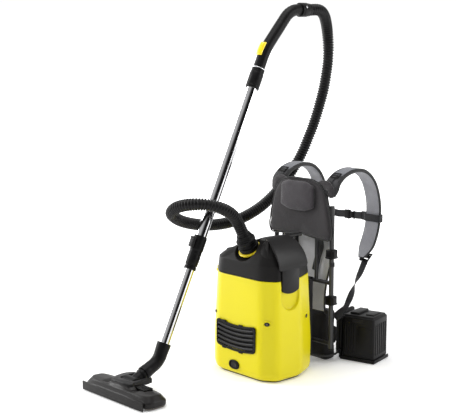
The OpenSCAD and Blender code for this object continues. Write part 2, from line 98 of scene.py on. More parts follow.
def plastic(name, col, rough, grain=0.12, gscale=1400.0, bevel=0.0, spec=0.5, metallic=0.0, coat=0.0, var=0.04, dist=0.00015, rvar=0.05):
    """Moulded plastic or metal with fine grain, faint tone and gloss changes and softened edges."""
    m = bpy.data.materials.new(name)
    m.use_nodes = True
    nt = m.node_tree
    b = nt.nodes["Principled BSDF"]
    b.inputs["Base Color"].default_value = (*col, 1)
    b.inputs["Roughness"].default_value = rough
    b.inputs["Metallic"].default_value = metallic
    b.inputs["Specular IOR Level"].default_value = spec
    b.inputs["Coat Weight"].default_value = coat
    b.inputs["Coat Roughness"].default_value = 0.15
    tc = nd(nt, "ShaderNodeTexCoord")
    n1 = nd(nt, "ShaderNodeTexNoise")
    n1.inputs["Scale"].default_value = 14.0
    n1.inputs["Detail"].default_value = 3.0
    nt.links.new(tc.outputs["Object"], n1.inputs["Vector"])
    if var > 0:
        mix = nd(nt, "ShaderNodeMixRGB")
        mix.inputs[1].default_value = (*[c * (1 - var) for c in col], 1)
        mix.inputs[2].default_value = (*[min(1, c * (1 + var)) for c in col], 1)
        nt.links.new(n1.outputs["Fac"], mix.inputs[0])
        nt.links.new(mix.outputs[0], b.inputs["Base Color"])
    if rvar > 0:
        mr = nd(nt, "ShaderNodeMapRange")
        mr.inputs["To Min"].default_value = max(0.02, rough - rvar)
        mr.inputs["To Max"].default_value = rough + rvar
        nt.links.new(n1.outputs["Fac"], mr.inputs["Value"])
        nt.links.new(mr.outputs["Result"], b.inputs["Roughness"])
    src = None
    if bevel > 0:
        bv = nd(nt, "ShaderNodeBevel", samples=4)
        bv.inputs["Radius"].default_value = bevel
        src = bv.outputs["Normal"]
    if grain > 0:
        n2 = nd(nt, "ShaderNodeTexNoise")
        n2.inputs["Scale"].default_value = gscale
        n2.inputs["Detail"].default_value = 2.0
        nt.links.new(tc.outputs["Object"], n2.inputs["Vector"])
        bp = nd(nt, "ShaderNodeBump")
        bp.inputs["Strength"].default_value = grain
        bp.inputs["Distance"].default_value = dist
        nt.links.new(n2.outputs["Fac"], bp.inputs["Height"])
        if src is not None:
            nt.links.new(src, bp.inputs["Normal"])
        src = bp.outputs["Normal"]
    if src is not None:
        nt.links.new(src, b.inputs["Normal"])
    MATS[name] = m
    return m


def fabric(name, col, col2, pitch=0.0022, rough=0.9, sheen=0.25, bump=0.5, dist=0.0006, wrinkle=0.25, uv=False):
    """Woven cloth: crossed threads, a faint tone change and small soft creases."""
    m = bpy.data.materials.new(name)
    m.use_nodes = True
    nt = m.node_tree
    b = nt.nodes["Principled BSDF"]
    b.inputs["Roughness"].default_value = rough
    b.inputs["Specular IOR Level"].default_value = 0.25
    b.inputs["Sheen Weight"].default_value = sheen
    b.inputs["Sheen Roughness"].default_value = 0.5
    tc = nd(nt, "ShaderNodeTexCoord")
    sep = nd(nt, "ShaderNodeSeparateXYZ")
    nt.links.new(tc.outputs["UV" if uv else "Object"], sep.inputs[0])

    def wave(sock, k, off=0.0):
        a = nd(nt, "ShaderNodeMath", operation="MULTIPLY")
        a.inputs[1].default_value = k
        nt.links.new(sock, a.inputs[0])
        c = nd(nt, "ShaderNodeMath", operation="SINE")
        nt.links.new(a.outputs[0], c.inputs[0])
        return c.outputs[0]

    k = 2 * math.pi / pitch
    sx = wave(sep.outputs[0], k)
    if uv:
        sy = wave(sep.outputs[1], k)
    else:
        add = nd(nt, "ShaderNodeMath", operation="ADD")
        nt.links.new(sep.outputs[1], add.inputs[0])
        nt.links.new(sep.outputs[2], add.inputs[1])
        sy = wave(add.outputs[0], k)
    mu = nd(nt, "ShaderNodeMath", operation="MULTIPLY")
    nt.links.new(sx, mu.inputs[0])
    nt.links.new(sy, mu.inputs[1])
    half = nd(nt, "ShaderNodeMapRange")
    half.inputs["From Min"].default_value = -1
    nt.links.new(mu.outputs[0], half.inputs["Value"])
    n1 = nd(nt, "ShaderNodeTexNoise")
    n1.inputs["Scale"].default_value = 45
    n1.inputs["Detail"].default_value = 4
    nt.links.new(tc.outputs["Object"], n1.inputs["Vector"])
    mixf = nd(nt, "ShaderNodeMath", operation="MULTIPLY_ADD")
    mixf.inputs[1].default_value = 0.55
    nt.links.new(half.outputs[0], mixf.inputs[0])
    sc2 = nd(nt, "ShaderNodeMath", operation="MULTIPLY")
    sc2.inputs[1].default_value = 0.45
    nt.links.new(n1.outputs["Fac"], sc2.inputs[0])
    nt.links.new(sc2.outputs[0], mixf.inputs[2])
    mix = nd(nt, "ShaderNodeMixRGB")
    mix.inputs[1].default_value = (*col, 1)
    mix.inputs[2].default_value = (*col2, 1)
    nt.links.new(mixf.outputs[0], mix.inputs[0])
    nt.links.new(mix.outputs[0], b.inputs["Base Color"])
    bp = nd(nt, "ShaderNodeBump")
    bp.inputs["Strength"].default_value = bump
    bp.inputs["Distance"].default_value = dist
    nt.links.new(half.outputs[0], bp.inputs["Height"])
    n3 = nd(nt, "ShaderNodeTexNoise")
    n3.inputs["Scale"].default_value = 30
    n3.inputs["Detail"].default_value = 2
    nt.links.new(tc.outputs["Object"], n3.inputs["Vector"])
    bp2 = nd(nt, "ShaderNodeBump")
    bp2.inputs["Strength"].default_value = wrinkle
    bp2.inputs["Distance"].default_value = 0.006
    nt.links.new(n3.outputs["Fac"], bp2.inputs["Height"])
    nt.links.new(bp2.outputs["Normal"], bp.inputs["Normal"])
    nt.links.new(bp.outputs["Normal"], b.inputs["Normal"])
    MATS[name] = m
    return m


plastic("yellow_shell", (0.74, 0.64, 0.0), 0.36, grain=0.05, bevel=0.002, spec=0.3, coat=0.0, var=0.015)
plastic("yellow_trim", (0.86, 0.66, 0.006), 0.32, grain=0.05, bevel=0.001, coat=0.2, var=0.02)
plastic("lid_plastic", (0.0085, 0.0078, 0.0076), 0.48, grain=0.25, gscale=2200, bevel=0.002, var=0.08, spec=0.14)
plastic("lever_plastic", (0.0085, 0.0078, 0.0080), 0.36, grain=0.12, gscale=2200, bevel=0.001, var=0.08, coat=0.0, spec=0.2)
plastic("black_plastic", (0.0045, 0.0043, 0.0045), 0.42, grain=0.2, gscale=2000, bevel=0.0012, var=0.1, spec=0.13)
plastic("grey_plastic", (0.014, 0.0135, 0.014), 0.4, grain=0.15, gscale=2000, bevel=0.001, var=0.08, spec=0.16)
plastic("nozzle_plastic", (0.0135, 0.0122, 0.0120), 0.4, grain=0.2, gscale=2000, bevel=0.0012, var=0.08, spec=0.2)
plastic("battery_plastic", (0.0065, 0.0062, 0.0064), 0.44, grain=0.25, gscale=2000, bevel=0.0012, var=0.1, spec=0.16)
plastic("hose_plastic", (0.0065, 0.0062, 0.0066), 0.36, grain=0.08, var=0.08, spec=0.2)
plastic("frame_paint", (0.016, 0.016, 0.017), 0.38, grain=0.2, gscale=1800, bevel=0.001, var=0.1)
plastic("steel", (0.6, 0.6, 0.62), 0.28, grain=0.1, metallic=1.0, bevel=0.0004, spec=0.5)
plastic("steel_sheet", (0.62, 0.62, 0.64), 0.3, grain=0.2, metallic=1.0, bevel=0.0004)
plastic("aluminium", (0.75, 0.76, 0.78), 0.35, grain=0.2, metallic=1.0, bevel=0.0005)
plastic("motor_core", (0.3, 0.29, 0.28), 0.5, grain=0.3, metallic=0.8, bevel=0.0005)
plastic("chrome_tube", (0.62, 0.62, 0.63), 0.10, grain=0.0, metallic=1.0, var=0.02, rvar=0.03)
plastic("circuit_board", (0.02, 0.16, 0.05), 0.4, grain=0.3, bevel=0.0005)
plastic("seal_rubber", (0.03, 0.03, 0.03), 0.7, grain=0.3)
plastic("cable_rubber", (0.012, 0.012, 0.012), 0.55, grain=0.2)
plastic("filter_paper", (0.75, 0.73, 0.66), 0.95, grain=0.9, gscale=700, dist=0.0006)
plastic("foam", (0.05, 0.05, 0.055), 1.0, grain=1.0, gscale=500, dist=0.001)
plastic("bristle", (0.012, 0.012, 0.012), 0.7, grain=0.3)
plastic("dark_steel", (0.12, 0.11, 0.10), 0.4, grain=0.2, metallic=0.9)
plastic("piping", (0.007, 0.007, 0.007), 0.6, grain=0.4, gscale=1500)
# near-black material that paints the shade inside recesses and behind openings
plastic("dark_hollow", (0.006, 0.006, 0.006), 0.8, grain=0.0, var=0.0, rvar=0.0)
fabric("harness_fabric", (0.018, 0.0160, 0.0175), (0.042, 0.038, 0.041))
fabric("pad_fabric", (0.026, 0.023, 0.026), (0.062, 0.056, 0.062), pitch=0.0026)
fabric("dark_fabric", (0.007, 0.0065, 0.007), (0.016, 0.015, 0.016), pitch=0.0026, sheen=0.1)
fabric("strap_fabric", (0.020, 0.0195, 0.021), (0.044, 0.043, 0.046), uv=True)
fabric("lining_mesh", (0.17, 0.17, 0.185), (0.40, 0.40, 0.43), pitch=0.0034, bump=0.8, uv=True)
fabric("light_patch", (0.095, 0.098, 0.112), (0.175, 0.18, 0.20), pitch=0.002, uv=True)
fabric("webbing", (0.010, 0.010, 0.011), (0.028, 0.028, 0.030), pitch=0.0030, uv=True, bump=0.8, wrinkle=0.05)
fabric("mesh_fabric", (0.36, 0.36, 0.38), (0.72, 0.72, 0.74), pitch=0.0052, uv=True, bump=0.9, sheen=0.1, wrinkle=0.05)

SLOTS = {"piping": "harness_fabric", "pad_fabric": "harness_fabric", "lining_mesh": "strap_fabric", "light_patch": "strap_fabric", "dark_hollow": "black_plastic", "dark_fabric": "harness_fabric"}
SLOT = {s["node"]: s["material_slot"] for s in frame["record"]["subparts"]}
SHOWN = {"nozzle_sole": "dark_steel", "corner_screws": "dark_steel", "latch_pin": "dark_steel"}
for n, o in NODES.items():
    o.data.materials.clear()
    o.data.materials.append(MATS[SHOWN.get(n, SLOT[n])])
    for p in o.data.polygons:
        p.use_smooth = True
    o.data.set_sharp_from_angle(angle=math.radians(28))


# ------------------------------------------------------------------ geometry helpers (millimetres in, metres out)
def mk(name, V, F, mat, body=None, replaces=(), slot=None, sharp=None, uv=None, mats=None, fmat=None):
    me = bpy.data.meshes.new(name)
    me.from_pydata([tuple(float(c) * MM for c in v) for v in V], [], [tuple(int(i) for i in f) for f in F])
    me.validate()
    o = bpy.data.objects.new(name, me)
    sc.collection.objects.link(o)
    for mm in (mats or [mat]):
        me.materials.append(MATS[mm])
    if fmat is not None and len(fmat) == len(me.polygons):
        me.polygons.foreach_set("material_index", np.array(fmat, np.int32))
    me.polygons.foreach_set("use_smooth", [True] * len(me.polygons))
    if uv is not None:
        layer = me.uv_layers.new(name="uv")
        for lp in me.loops:
            layer.data[lp.index].uv = uv[lp.vertex_index]
    bm = bmesh.new()
    bm.from_mesh(me)
    bmesh.ops.recalc_face_normals(bm, faces=bm.faces)
    bm.to_mesh(me)
    bm.free()
    if sharp:
        me.set_sharp_from_angle(angle=math.radians(sharp))
    if replaces:
        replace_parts(o, *replaces)
    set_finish(o, slot or SLOTS.get(mat, mat))
    if body:
        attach(o, body)
    return o


def grid_faces(n, m, close_m=True, cap0=True, cap1=True):
    F = []
    mm = m if close_m else m - 1
    for i in range(n - 1):
        for k in range(mm):
            j = (k + 1) % m
            F.append((i * m + k, i * m + j, (i + 1) * m + j, (i + 1) * m + k))
    if cap0:
        F.append(tuple(range(m - 1, -1, -1)))
    if cap1:
        F.append(tuple((n - 1) * m + k for k in range(m)))
    return F


def cr(a, b, c, d, t):
    return 0.5 * ((2 * b) + (c - a) * t + (2 * a - 5 * b + 4 * c - d) * t * t + (3 * b - a - 3 * c + d) * t ** 3)


def spline(P, n):
    P = np.asarray(P, float)
    out = []
    for i in range(len(P) - 1):
        for k in range(n):
            out.append(cr(P[max(i - 1, 0)], P[i], P[i + 1], P[min(i + 2, len(P) - 1)], k / n))
    out.append(P[-1])
    return np.array(out)


def resample(P, step=None, n=None):
    P = np.asarray(P, float)
    L = np.r_[0, np.cumsum(np.linalg.norm(np.diff(P, axis=0), axis=1))]
    n = n or max(2, int(round(L[-1] / step)) + 1)
    u = np.linspace(0, L[-1], n)
    return np.stack([np.interp(u, L, P[:, k]) for k in range(P.shape[1])], 1), u


def frames(P, n0=(1, 0, 0)):
    T = np.gradient(P, axis=0)
    T /= np.linalg.norm(T, axis=1)[:, None]
    N = []
    v = np.array(n0, float)
    for t in T:
        v = v - t * (v @ t)
        v /= np.linalg.norm(v)
        N.append(v.copy())
    N = np.array(N)
    return T, N, np.cross(T, N)


def tube(name, P, r, mat, body=None, m=20, step=4.0, n0=(1, 0, 0), **kw):
    """Round sweep; r is one radius or an array over the resampled path."""
    P, u = resample(P, step=step)
    r = np.full(len(P), r, float) if np.isscalar(r) else np.interp(u / u[-1], np.linspace(0, 1, len(r)), r)
    T, N, B = frames(P, n0)
    a = np.arange(m) * 2 * math.pi / m
    V = [P[i] + r[i] * (math.cos(x) * N[i] + math.sin(x) * B[i]) for i in range(len(P)) for x in a]
    return mk(name, V, grid_faces(len(P), m), mat, body, **kw)


def lathe(name, prof, mat, M, body=None, m=48, **kw):
    """prof is [(r, z)] along the local axis of matrix M (mm)."""
    V = []
    for r, z in prof:
        for k in range(m):
            a = 2 * math.pi * k / m
            V.append(M @ Vector((r * math.cos(a), r * math.sin(a), z)))
    return mk(name, V, grid_faces(len(prof), m, True, prof[0][0] > 1e-6, prof[-1][0] > 1e-6), mat, body, **kw)


def rbox(name, size, r, mat, M, body=None, seg=3, **kw):
    """Box with rounded edges: size (x, y, z) in mm, centred, placed by matrix M."""
    bm = bmesh.new()
    bmesh.ops.create_cube(bm, size=1.0)
    for v in bm.verts:
        v.co = Vector((v.co.x * size[0], v.co.y * size[1], v.co.z * size[2]))
    bmesh.ops.bevel(bm, geom=bm.edges[:], offset=r, segments=seg, profile=0.5, affect="EDGES")
    V = [M @ v.co for v in bm.verts]
    idx = {v: i for i, v in enumerate(bm.verts)}
    F = [[idx[v] for v in f.verts] for f in bm.faces]
    bm.free()
    return mk(name, V, F, mat, body, **kw)


def join(name, objs):
    """Joins meshes that share a body into one named piece."""
    base = objs[0]
    rep = sorted(set(sum([list(o.get("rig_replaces", [])) for o in objs], [])))
    bm = bmesh.new()
    mats = []
    for o in objs:
        for mt in o.data.materials:
            if mt not in mats:
                mats.append(mt)
    for o in objs:
        me = o.data.copy()
        remap = [mats.index(mt) for mt in o.data.materials]
        for p in me.polygons:
            p.material_index = remap[p.material_index] if p.material_index < len(remap) else 0
        bm.from_mesh(me)
        bpy.data.meshes.remove(me)
    me = bpy.data.meshes.new(name)
    bm.to_mesh(me)
    bm.free()
    for mt in mats:
        me.materials.append(mt)
    new = bpy.data.objects.new(name, me)
    sc.collection.objects.link(new)
    body = base.get("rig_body")
    sl = base.get("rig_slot")
    for o in objs:
        bpy.data.objects.remove(o)
    if rep:
        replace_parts(new, *rep)
    if sl:
        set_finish(new, sl)
    if body:
        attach(new, body)
    return new


def evaluated(o):
    dg = bpy.context.evaluated_depsgraph_get()
    return bpy.data.meshes.new_from_object(o.evaluated_get(dg))


def soften(node, voxel, smooth, name, mat=None, body=None, cuts=(), sub=False):
    """A piece with softened edges that takes a CAD node's shape."""
    src = NODES[node]
    o = bpy.data.objects.new(name, src.data.copy())
    sc.collection.objects.link(o)
    for c in cuts:
        md = o.modifiers.new("b", "BOOLEAN")
        md.operation = "DIFFERENCE"
        md.solver = "EXACT"
        md.object = c
    md = o.modifiers.new("r", "REMESH")
    md.mode = "VOXEL"
    md.voxel_size = voxel
    md.adaptivity = 0.0
    if smooth:
        md = o.modifiers.new("s", "SMOOTH")
        md.factor = 0.5
        md.iterations = smooth
    me = evaluated(o)
    o.modifiers.clear()
    o.data = me
    me.name = name
    me.materials.clear()
    me.materials.append(MATS[mat or SLOT[node]])
    me.polygons.foreach_set("use_smooth", [True] * len(me.polygons))
    for c in cuts:
        c.hide_render = True
    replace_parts(o, node)
    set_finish(o, SLOT[node])
    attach(o, body or NODES[node]["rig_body"])
    return o


def T3(x, y, z):
    return Matrix.Translation(Vector((x, y, z)))


def RX(a):
    return Matrix.Rotation(math.radians(a), 4, "X")


def RY(a):
    return Matrix.Rotation(math.radians(a), 4, "Y")


def RZ(a):
    return Matrix.Rotation(math.radians(a), 4, "Z")


# ------------------------------------------------------------------ container and lid
soften("container_shell", 0.0019, 5, "container_body")
soften("lid_shell", 0.0016, 6, "lid_body")

rbox("lid_rear_rise", (30, 44, 20), 8, "lid_plastic", T3(-95, -26, 339) @ RY(-14), "lid", seg=4)
V = []
for i in range(15):
    t = math.pi / 2 * i / 14
    ct, st = max(math.cos(t), 1e-4) ** (2 / 2.5), math.sin(t) ** (2 / 2.5)
    for k in range(44):
        a_ = 2 * math.pi * k / 44
        V.append((73 + 30 * ct * math.cos(a_), -45 + 31 * ct * math.sin(a_), 338 + 56 * st))
mk("lid_dome", V, grid_faces(15, 44), "lid_plastic", "lid")

# lever : one curved plate with rounded corners and a tongue
prof = spline([(131.2, 317), (129.4, 332), (121.5, 356), (108.5, 379), (97, 394.5), (88, 402.5), (79, 405.5)], 8)
prof, pu = resample(prof, n=40)
pt = np.gradient(prof, axis=0)
pt /= np.linalg.norm(pt, axis=1)[:, None]
pn = np.stack([pt[:, 1], -pt[:, 0]], 1)
S = pu[-1]
V = []
ny = 36
for side in (0, 1):
    for i in range(40):
        s = pu[i]
        yl, yr = -64.0 - 9.0 * math.sin(math.pi / 2 * min(1, s / S * 1.4)), 44.0 - 34.0 * (s / S) ** 2.2
        R = 11.0
        if s > S - R:
            yl += R - math.sqrt(max(0, R * R - (s - (S - R)) ** 2))
        yl -= 3.0 * max(0, 1 - s / 26) ** 2
        R = 30.0
        if s > S - R:
            yr -= R - math.sqrt(max(0, R * R - (s - (S - R)) ** 2))
        R = 12.0
        if s < R:
            yr -= R - math.sqrt(max(0, R * R - (R - s) ** 2))
        R = 5.0
        if s < R:
            yl += R - math.sqrt(max(0, R * R - (R - s) ** 2))
        for k in range(ny):
            f = k / (ny - 1)
            g = 0.5 - 0.5 * math.cos(math.pi * f)
            y = yl + (yr - yl) * g
            e = min(f, 1 - f, s / S * 1.5 + 0.001, (S - s) / S * 1.5 + 0.001)
            crown = 2.6 * (1 - (2 * f - 1) ** 2) * math.sin(math.pi * min(1, max(0, s / S)))
            th = 4.4 * min(1, 0.35 + 6 * e)
            off = crown + (0 if side == 0 else -th)
            V.append((prof[i][0] + pn[i][0] * off, y, prof[i][1] + pn[i][1] * off))
F = []
q = 40 * ny
for i in range(39):
    for k in range(ny - 1):
        a, b, c, d = i * ny + k, i * ny + k + 1, (i + 1) * ny + k + 1, (i + 1) * ny + k
        F.append((a, b, c, d))
        F.append((q + d, q + c, q + b, q + a))
rim = [k for k in range(ny)] + [i * ny + ny - 1 for i in range(1, 40)] + [39 * ny + k for k in range(ny - 2, -1, -1)] + [i * ny for i in range(38, 0, -1)]
for i in range(len(rim)):
    a, b = rim[i], rim[(i + 1) % len(rim)]
    F.append((b, a, q + a, q + b))
lev = mk("lever_plate", V, F, "lever_plastic", "latch", ("latch_lever",), sharp=50)


def outline_slab(name, pts, x0, x1, mat, body, soft=2.0, **kw):
    """Slab with outline pts in (y, z), from x0 to x1, its outer edge rounded."""
    pts = np.asarray(pts, float)
    c = pts.mean(0)
    rings = [(x0, 0.0), (x1 - soft, 0.0), (x1 - soft * 0.3, soft * 0.3), (x1, soft)]
    V = []
    d = pts - c
    L = np.linalg.norm(d, axis=1)[:, None]
    for x, ins in rings:
        p = c + d * (1 - ins / L)
        V += [(x, a, b) for a, b in p]
    return mk(name, V, grid_faces(len(rings), len(pts)), mat, body, **kw)


tg = [(-50, 324), (-50, 300), (-50, 275), (-50, 262), (-49.4, 258.5), (-47.5, 255.8), (-44, 253.6)]
tg += [(y, 247.2 + 6.2 * ((y + 17) / 27) ** 2) for y in np.linspace(-42, 8, 17)]
tg += [(10, 253.6), (13.5, 255.8), (15.4, 258.5), (16, 262), (16, 275), (16, 300), (16, 324)]
ton = outline_slab("lever_tongue", tg, 119.5, 126.2, "lever_plastic", "latch", soft=1.8, sharp=40)
barrel = lathe("lever_barrel", [(5.2, -63.5), (5.2, 26.5)], "lever_plastic", T3(84, 0, 399) @ RX(90) @ Matrix.Scale(1, 4), "latch", m=24, sharp=40)
barrel.data.transform(Matrix.Identity(4))
join("latch_lever_shown", [lev, ton, barrel])

# grille : frame, curved louvres and a near-black sheet behind them that paints the shade inside


def crown(x):
    return -101.0 - 0.0 * x


def rrect(w, h, r, n=8):
    P = []
    for cx, cy, a0 in ((w / 2 - r, h / 2 - r, 0), (-w / 2 + r, h / 2 - r, 90), (-w / 2 + r, -h / 2 + r, 180), (w / 2 - r, -h / 2 + r, 270)):
        for k in range(n + 1):
            a = math.radians(a0 + 90 * k / n)
            P.append((cx + r * math.cos(a), cy + r * math.sin(a)))
    return np.array(P)


gx, gz = -6.5, 113.5
out = rrect(158, 76, 10)
inn = rrect(147, 63, 5)


def dense(P, k=6):
    Q = []
    for i in range(len(P)):
        a, b = P[i], P[(i + 1) % len(P)]
        m = max(1, int(np.linalg.norm(b - a) // k))
        for j in range(m):
            Q.append(a + (b - a) * j / m)
    return np.array(Q)


out_d = dense(out)
inn_d = np.array([inn[np.argmin(np.linalg.norm(inn - p * np.array([147 / 158, 60 / 73]), axis=1))] * 0 + p * np.array([147 / 158, 60 / 73]) for p in out_d])


def bow(x, z):
    return z - 8.6 * (1 - (x / 79) ** 2)


rings = [(out_d, 0.0), (out_d, -2.4), (out_d * 0.992, -3.2), (inn_d * 1.01, -3.2), (inn_d, -2.6), (inn_d, 6.0)]
V = []
for P, dy in rings:
    for x, z in P:
        V.append((gx + x, -100.9 + dy, gz + 4.6 + bow(x, z)))
g0 = mk("g0", V, grid_faces(len(rings), len(out_d), True, False, False), "black_plastic", "root", ("exhaust_grille",), sharp=40)
V, F = [], []
parts = [g0]
for k in range(5):
    zc = gz - 25.6 + k * 12.8
    path = [(gx + x, -100.0 - 1.6 + 0.6 * (x / 74) ** 2, zc + 4.6 - 8.6 * (1 - (x / 79) ** 2)) for x in np.linspace(-74, 74, 25)]
    P = np.array(path)
    V, n = [], 12
    for p in P:
        for j in range(n):
            a = 2 * math.pi * j / n
            V.append((p[0], p[1] + 3.3 * math.cos(a) * (1.0 if math.cos(a) < 0 else 1.6), p[2] + 3.9 * math.sin(a) + 1.2 * math.cos(a)))
    parts.append(mk("gb%d" % k, V, grid_faces(len(P), n), "grey_plastic", "root"))
for x, s in ((-48, 1), (20, 1), (-48, -1), (20, -1)):
    parts.append(rbox("gt%d_%d" % (x, s), (16, 4.0, 5.0), 1.4, "black_plastic", T3(gx + x, -102.2, gz + s * 38.6 + 4.6 - 8.6 * (1 - (x / 79) ** 2)), "root"))
# near-black sheet behind the louvres: painted shade inside the grille, covering the pale filter
parts.append(rbox("gback", (150, 1.5, 64), 0.4, "dark_hollow", T3(gx, -94.6, gz), "root"))
join("exhaust_grille_shown", parts)

# oval rocker with its rim
V = []


def oval(a, b, n=2.4, k=48):
    t = 2 * math.pi * (np.arange(k) + 0.5) / k
    return np.stack([a * np.sign(np.cos(t)) * np.abs(np.cos(t)) ** (2 / n), b * np.sign(np.sin(t)) * np.abs(np.sin(t)) ** (2 / n)], 1)


for (a, b, dy) in ((20.5, 13.2, 0.2), (20.5, 13.2, -1.8), (19.4, 12.2, -3.0), (16.2, 9.6, -3.2), (15.2, 8.8, -2.4), (15.1, 8.7, 4)):
    V += [(-14 + x, -101 + dy, 31 + z) for x, z in oval(a, b)]
mk("switch_rim", V, grid_faces(6, 48, True, False, False), "black_plastic", "root", ("switch_bezel",), sharp=50)
V = []
for (a, b, dy) in ((14.4, 8.1, 3), (14.4, 8.1, -1.4), (13.4, 7.3, -2.6), (9.0, 4.7, -2.0), (2.6, 1.4, -1.5)):
    V += [(-14 + x, -101 + dy - 1.3 * (x / 14.4), 31 + z) for x, z in oval(a, b)]
mk("rocker_shown", V, grid_faces(5, 48), "grey_plastic", "switch", ("rocker_switch",), sharp=50)

# oval bosses round the corner screws
for x, y, an, q_ in ((104.6, -88.8, -54.7, 0), (-104.6, -88.8, -125.3, 1), (111.6, 60.6, 23.9, 2), (-111.6, 60.6, 156.1, 3)):
    M = T3(x, y, 168) @ RZ(an) @ RY(90)
    ring = []
    for (a, b, h) in ((10.0, 14.0, -1.5), (10.0, 14.0, -0.2), (9.2, 13.2, 0.4), (6.6, 10.0, 0.4), (6.0, 9.2, 0.1), (5.6, 8.6, -0.6)):
        ring += [M @ Vector((u_, v_, h)) for u_, v_ in oval(a, b, 2.0, 36)]
    if q_ != 1:
        mk("screw_boss%d" % q_, ring, grid_faces(6, 36, True, False, False), "yellow_shell", "root", sharp=50)
    # flat near-black oval in each boss: painted shade of the screw recess
    mk("screw_well%d" % q_, [M @ Vector((u_, v_, 0.15)) for u_, v_ in oval(5.6, 7.6, 2.0, 36)], [tuple(range(36))], "dark_hollow", "root")

# inlet : ring and stepped cuff
UI = Vector((0, -0.5, 0.8660254))
MI = T3(0, -50, 352) @ RX(30)
lathe("inlet_ring_shown", [(27.3, 4.6), (32.6, 4.6), (33.6, 6), (33.6, 8.4), (32.4, 9.6), (27.3, 9.6)], "yellow_trim", MI, "lid", replaces=("inlet_ring",), sharp=50)
cp = [(13, -12), (20.8, -12), (20.8, 13), (28, 14.4), (29, 15.6), (29, 22), (28, 23.2), (25, 23.6), (25, 27), (26.2, 27.6), (26.2, 29.6), (25, 30.2), (25, 35.6), (26.6, 36.2), (27.5, 37.4), (27.5, 43.4), (26.6, 44.8),
      (24, 45.4), (23.2, 49), (21.8, 49.8), (21.8, 51), (22.3, 51.8), (21.6, 55), (20.4, 55.6), (20.6, 58), (19.6, 60.4), (13, 60.4)]
lathe("hose_cuff_shown", cp, "black_plastic", MI, "cuff", replaces=("hose_cuff",), sharp=35)

# ------------------------------------------------------------------ hose
ROUTE = [[0,-80.8,405.3],[0,-100.7,439.8],[6,-128,466],[4,-160,485],[-11,-191,496],[-35,-215,499],[-67,-231,495],[-101,-234,485],
         [-134,-224,470],[-163,-202,455],[-183,-173,439],[-197,-139,424],[-204,-102,412],[-208,-64,403],[-207,-25,397],[-204,15,395],
         [-200,54,397],[-197,92,403],[-194,130,414],[-190,166,429],[-187,200,448],[-182,231,472],[-177,259,499],[-171,284,529],
         [-165,306,561],[-158,324,595],[-150,337,632],[-141,348,669],[-132,356,707],[-123,362,746],[-113,365,785],[-105,366,825],
         [-100,368,865],[-101,371,906],[-99,365,947],[-91,349,983],[-79,324,1009],[-70,292.3,1022.3],[-70,252.4,1022.3]]
cl = spline(ROUTE, 16)
cl = np.vstack([[0, -80.1, 404.1], cl])
pitch = 8.0
L = np.linalg.norm(np.diff(cl, axis=0), axis=1).sum()
nr = int(L / pitch) * 6
P, u = resample(cl, n=nr + 1)
T_, N_, B_ = frames(P)
shape = np.array([17.2, 17.2, 15.9, 13.9, 13.9, 15.9])
m = 28
ang = np.arange(m) * 2 * math.pi / m
V = []
for i in range(len(P)):
    r = shape[i % 6]
    V += [P[i] + r * (math.cos(x) * N_[i] + math.sin(x) * B_[i]) for x in ang]
hose = mk("hose_shown", V, grid_faces(len(P), m), "hose_plastic", None, ("hose",))
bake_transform(hose)

# collar at the handle end, ribbed
MY = T3(-70, 0, 1022.3) @ RX(-90)
lathe("hose_collar_shown", [(16.7, 208.8), (20, 208.8), (20.6, 210), (20.6, 214), (19.8, 215), (19.8, 217), (20.6, 218), (20.6, 236), (20, 237.4), (19.2, 238), (19.2, 241), (18.6, 242), (18.9, 245), (18.2, 246), (18.4, 249), (17.4, 251.5), (13.5, 251.5)],
      "black_plastic", MY, "root", replaces=("hose_collar",), sharp=35)
lathe("collar_pin", [(3.2, 18.6), (3.2, 21.4), (2.4, 22.0), (0.001, 22.0)], "steel", T3(-70, 222, 1022.3) @ RY(68), "root", m=20, sharp=40)

# ------------------------------------------------------------------ handle and wand
tw = math.radians(25.8)


def onw(q):
    return np.array([-314 + q * math.sin(tw), 113 + q * math.cos(tw)])


h0, h1 = math.radians(64.2), math.radians(48)
p0 = onw(858)
c1 = p0 + 200 * np.array([math.sin(h0), -math.cos(h0)])
p1 = c1 + 200 * np.array([-math.sin(h1), math.cos(h1)])
p2 = p1 + 90 * np.array([math.cos(h1), math.sin(h1)])
c2 = p2 + 70 * np.array([math.sin(h1), -math.cos(h1)])
p3 = c2 + np.array([0, 70])
hp = [onw(824.2), onw(830), onw(845)]
hp += [c1 + 200 * np.array([math.cos(a), math.sin(a)]) for a in np.linspace(h0 + math.pi / 2, h1 + math.pi / 2, 12)]
hp += [p1 + (p2 - p1) * t for t in (0.25, 0.5, 0.75)]
hp += [c2 + 70 * np.array([math.cos(a), math.sin(a)]) for a in np.linspace(h1 + math.pi / 2, math.pi / 2, 12)]
hp += [p3 + np.array([6, 0]), np.array([212, p3[1]]), np.array([226, p3[1]])]
HP = np.array([(-70, a, b) for a, b in hp])
Pq, uq = resample(HP, step=3.5)
rr = np.full(len(Pq), 16.8)
rr[uq > uq[-1] - 19] = 16.4
rr = np.where((uq > 150) & (uq < 245), 16.8 + 0.45 * np.sin((uq - 150) / 9.5 * 2 * math.pi) - 0.3, rr)
tube("handle_shown", HP, rr, "black_plastic", "handle", m=36, step=3.5, replaces=("handle_pipe",), sharp=50)

# yellow air slider
V = []
na_, nw = 14, 9
for a in np.linspace(142.6, 153.4, na_):
    ar = math.radians(a)
    e = min(1.0, min(a - 142.6, 153.4 - a) / 1.2 + 0.001)
    for w_, hgt in ((-10, 16.0), (-10, 18.5), (-8.4, 21.0), (-4.5, 24.0), (0, 25.2), (4.5, 24.0), (8.4, 21.0), (10, 18.5), (10, 16.0)):
        R = 200 + 16.0 + (hgt - 16.0) * (0.30 + 0.70 * math.sqrt(e))
        V.append((-70 + w_, c1[0] + R * math.cos(ar), c1[1] + R * math.sin(ar)))
mk("air_slider_shown", V, grid_faces(na_, nw), "yellow_trim", "air_regulator", ("air_slider",), sharp=60)

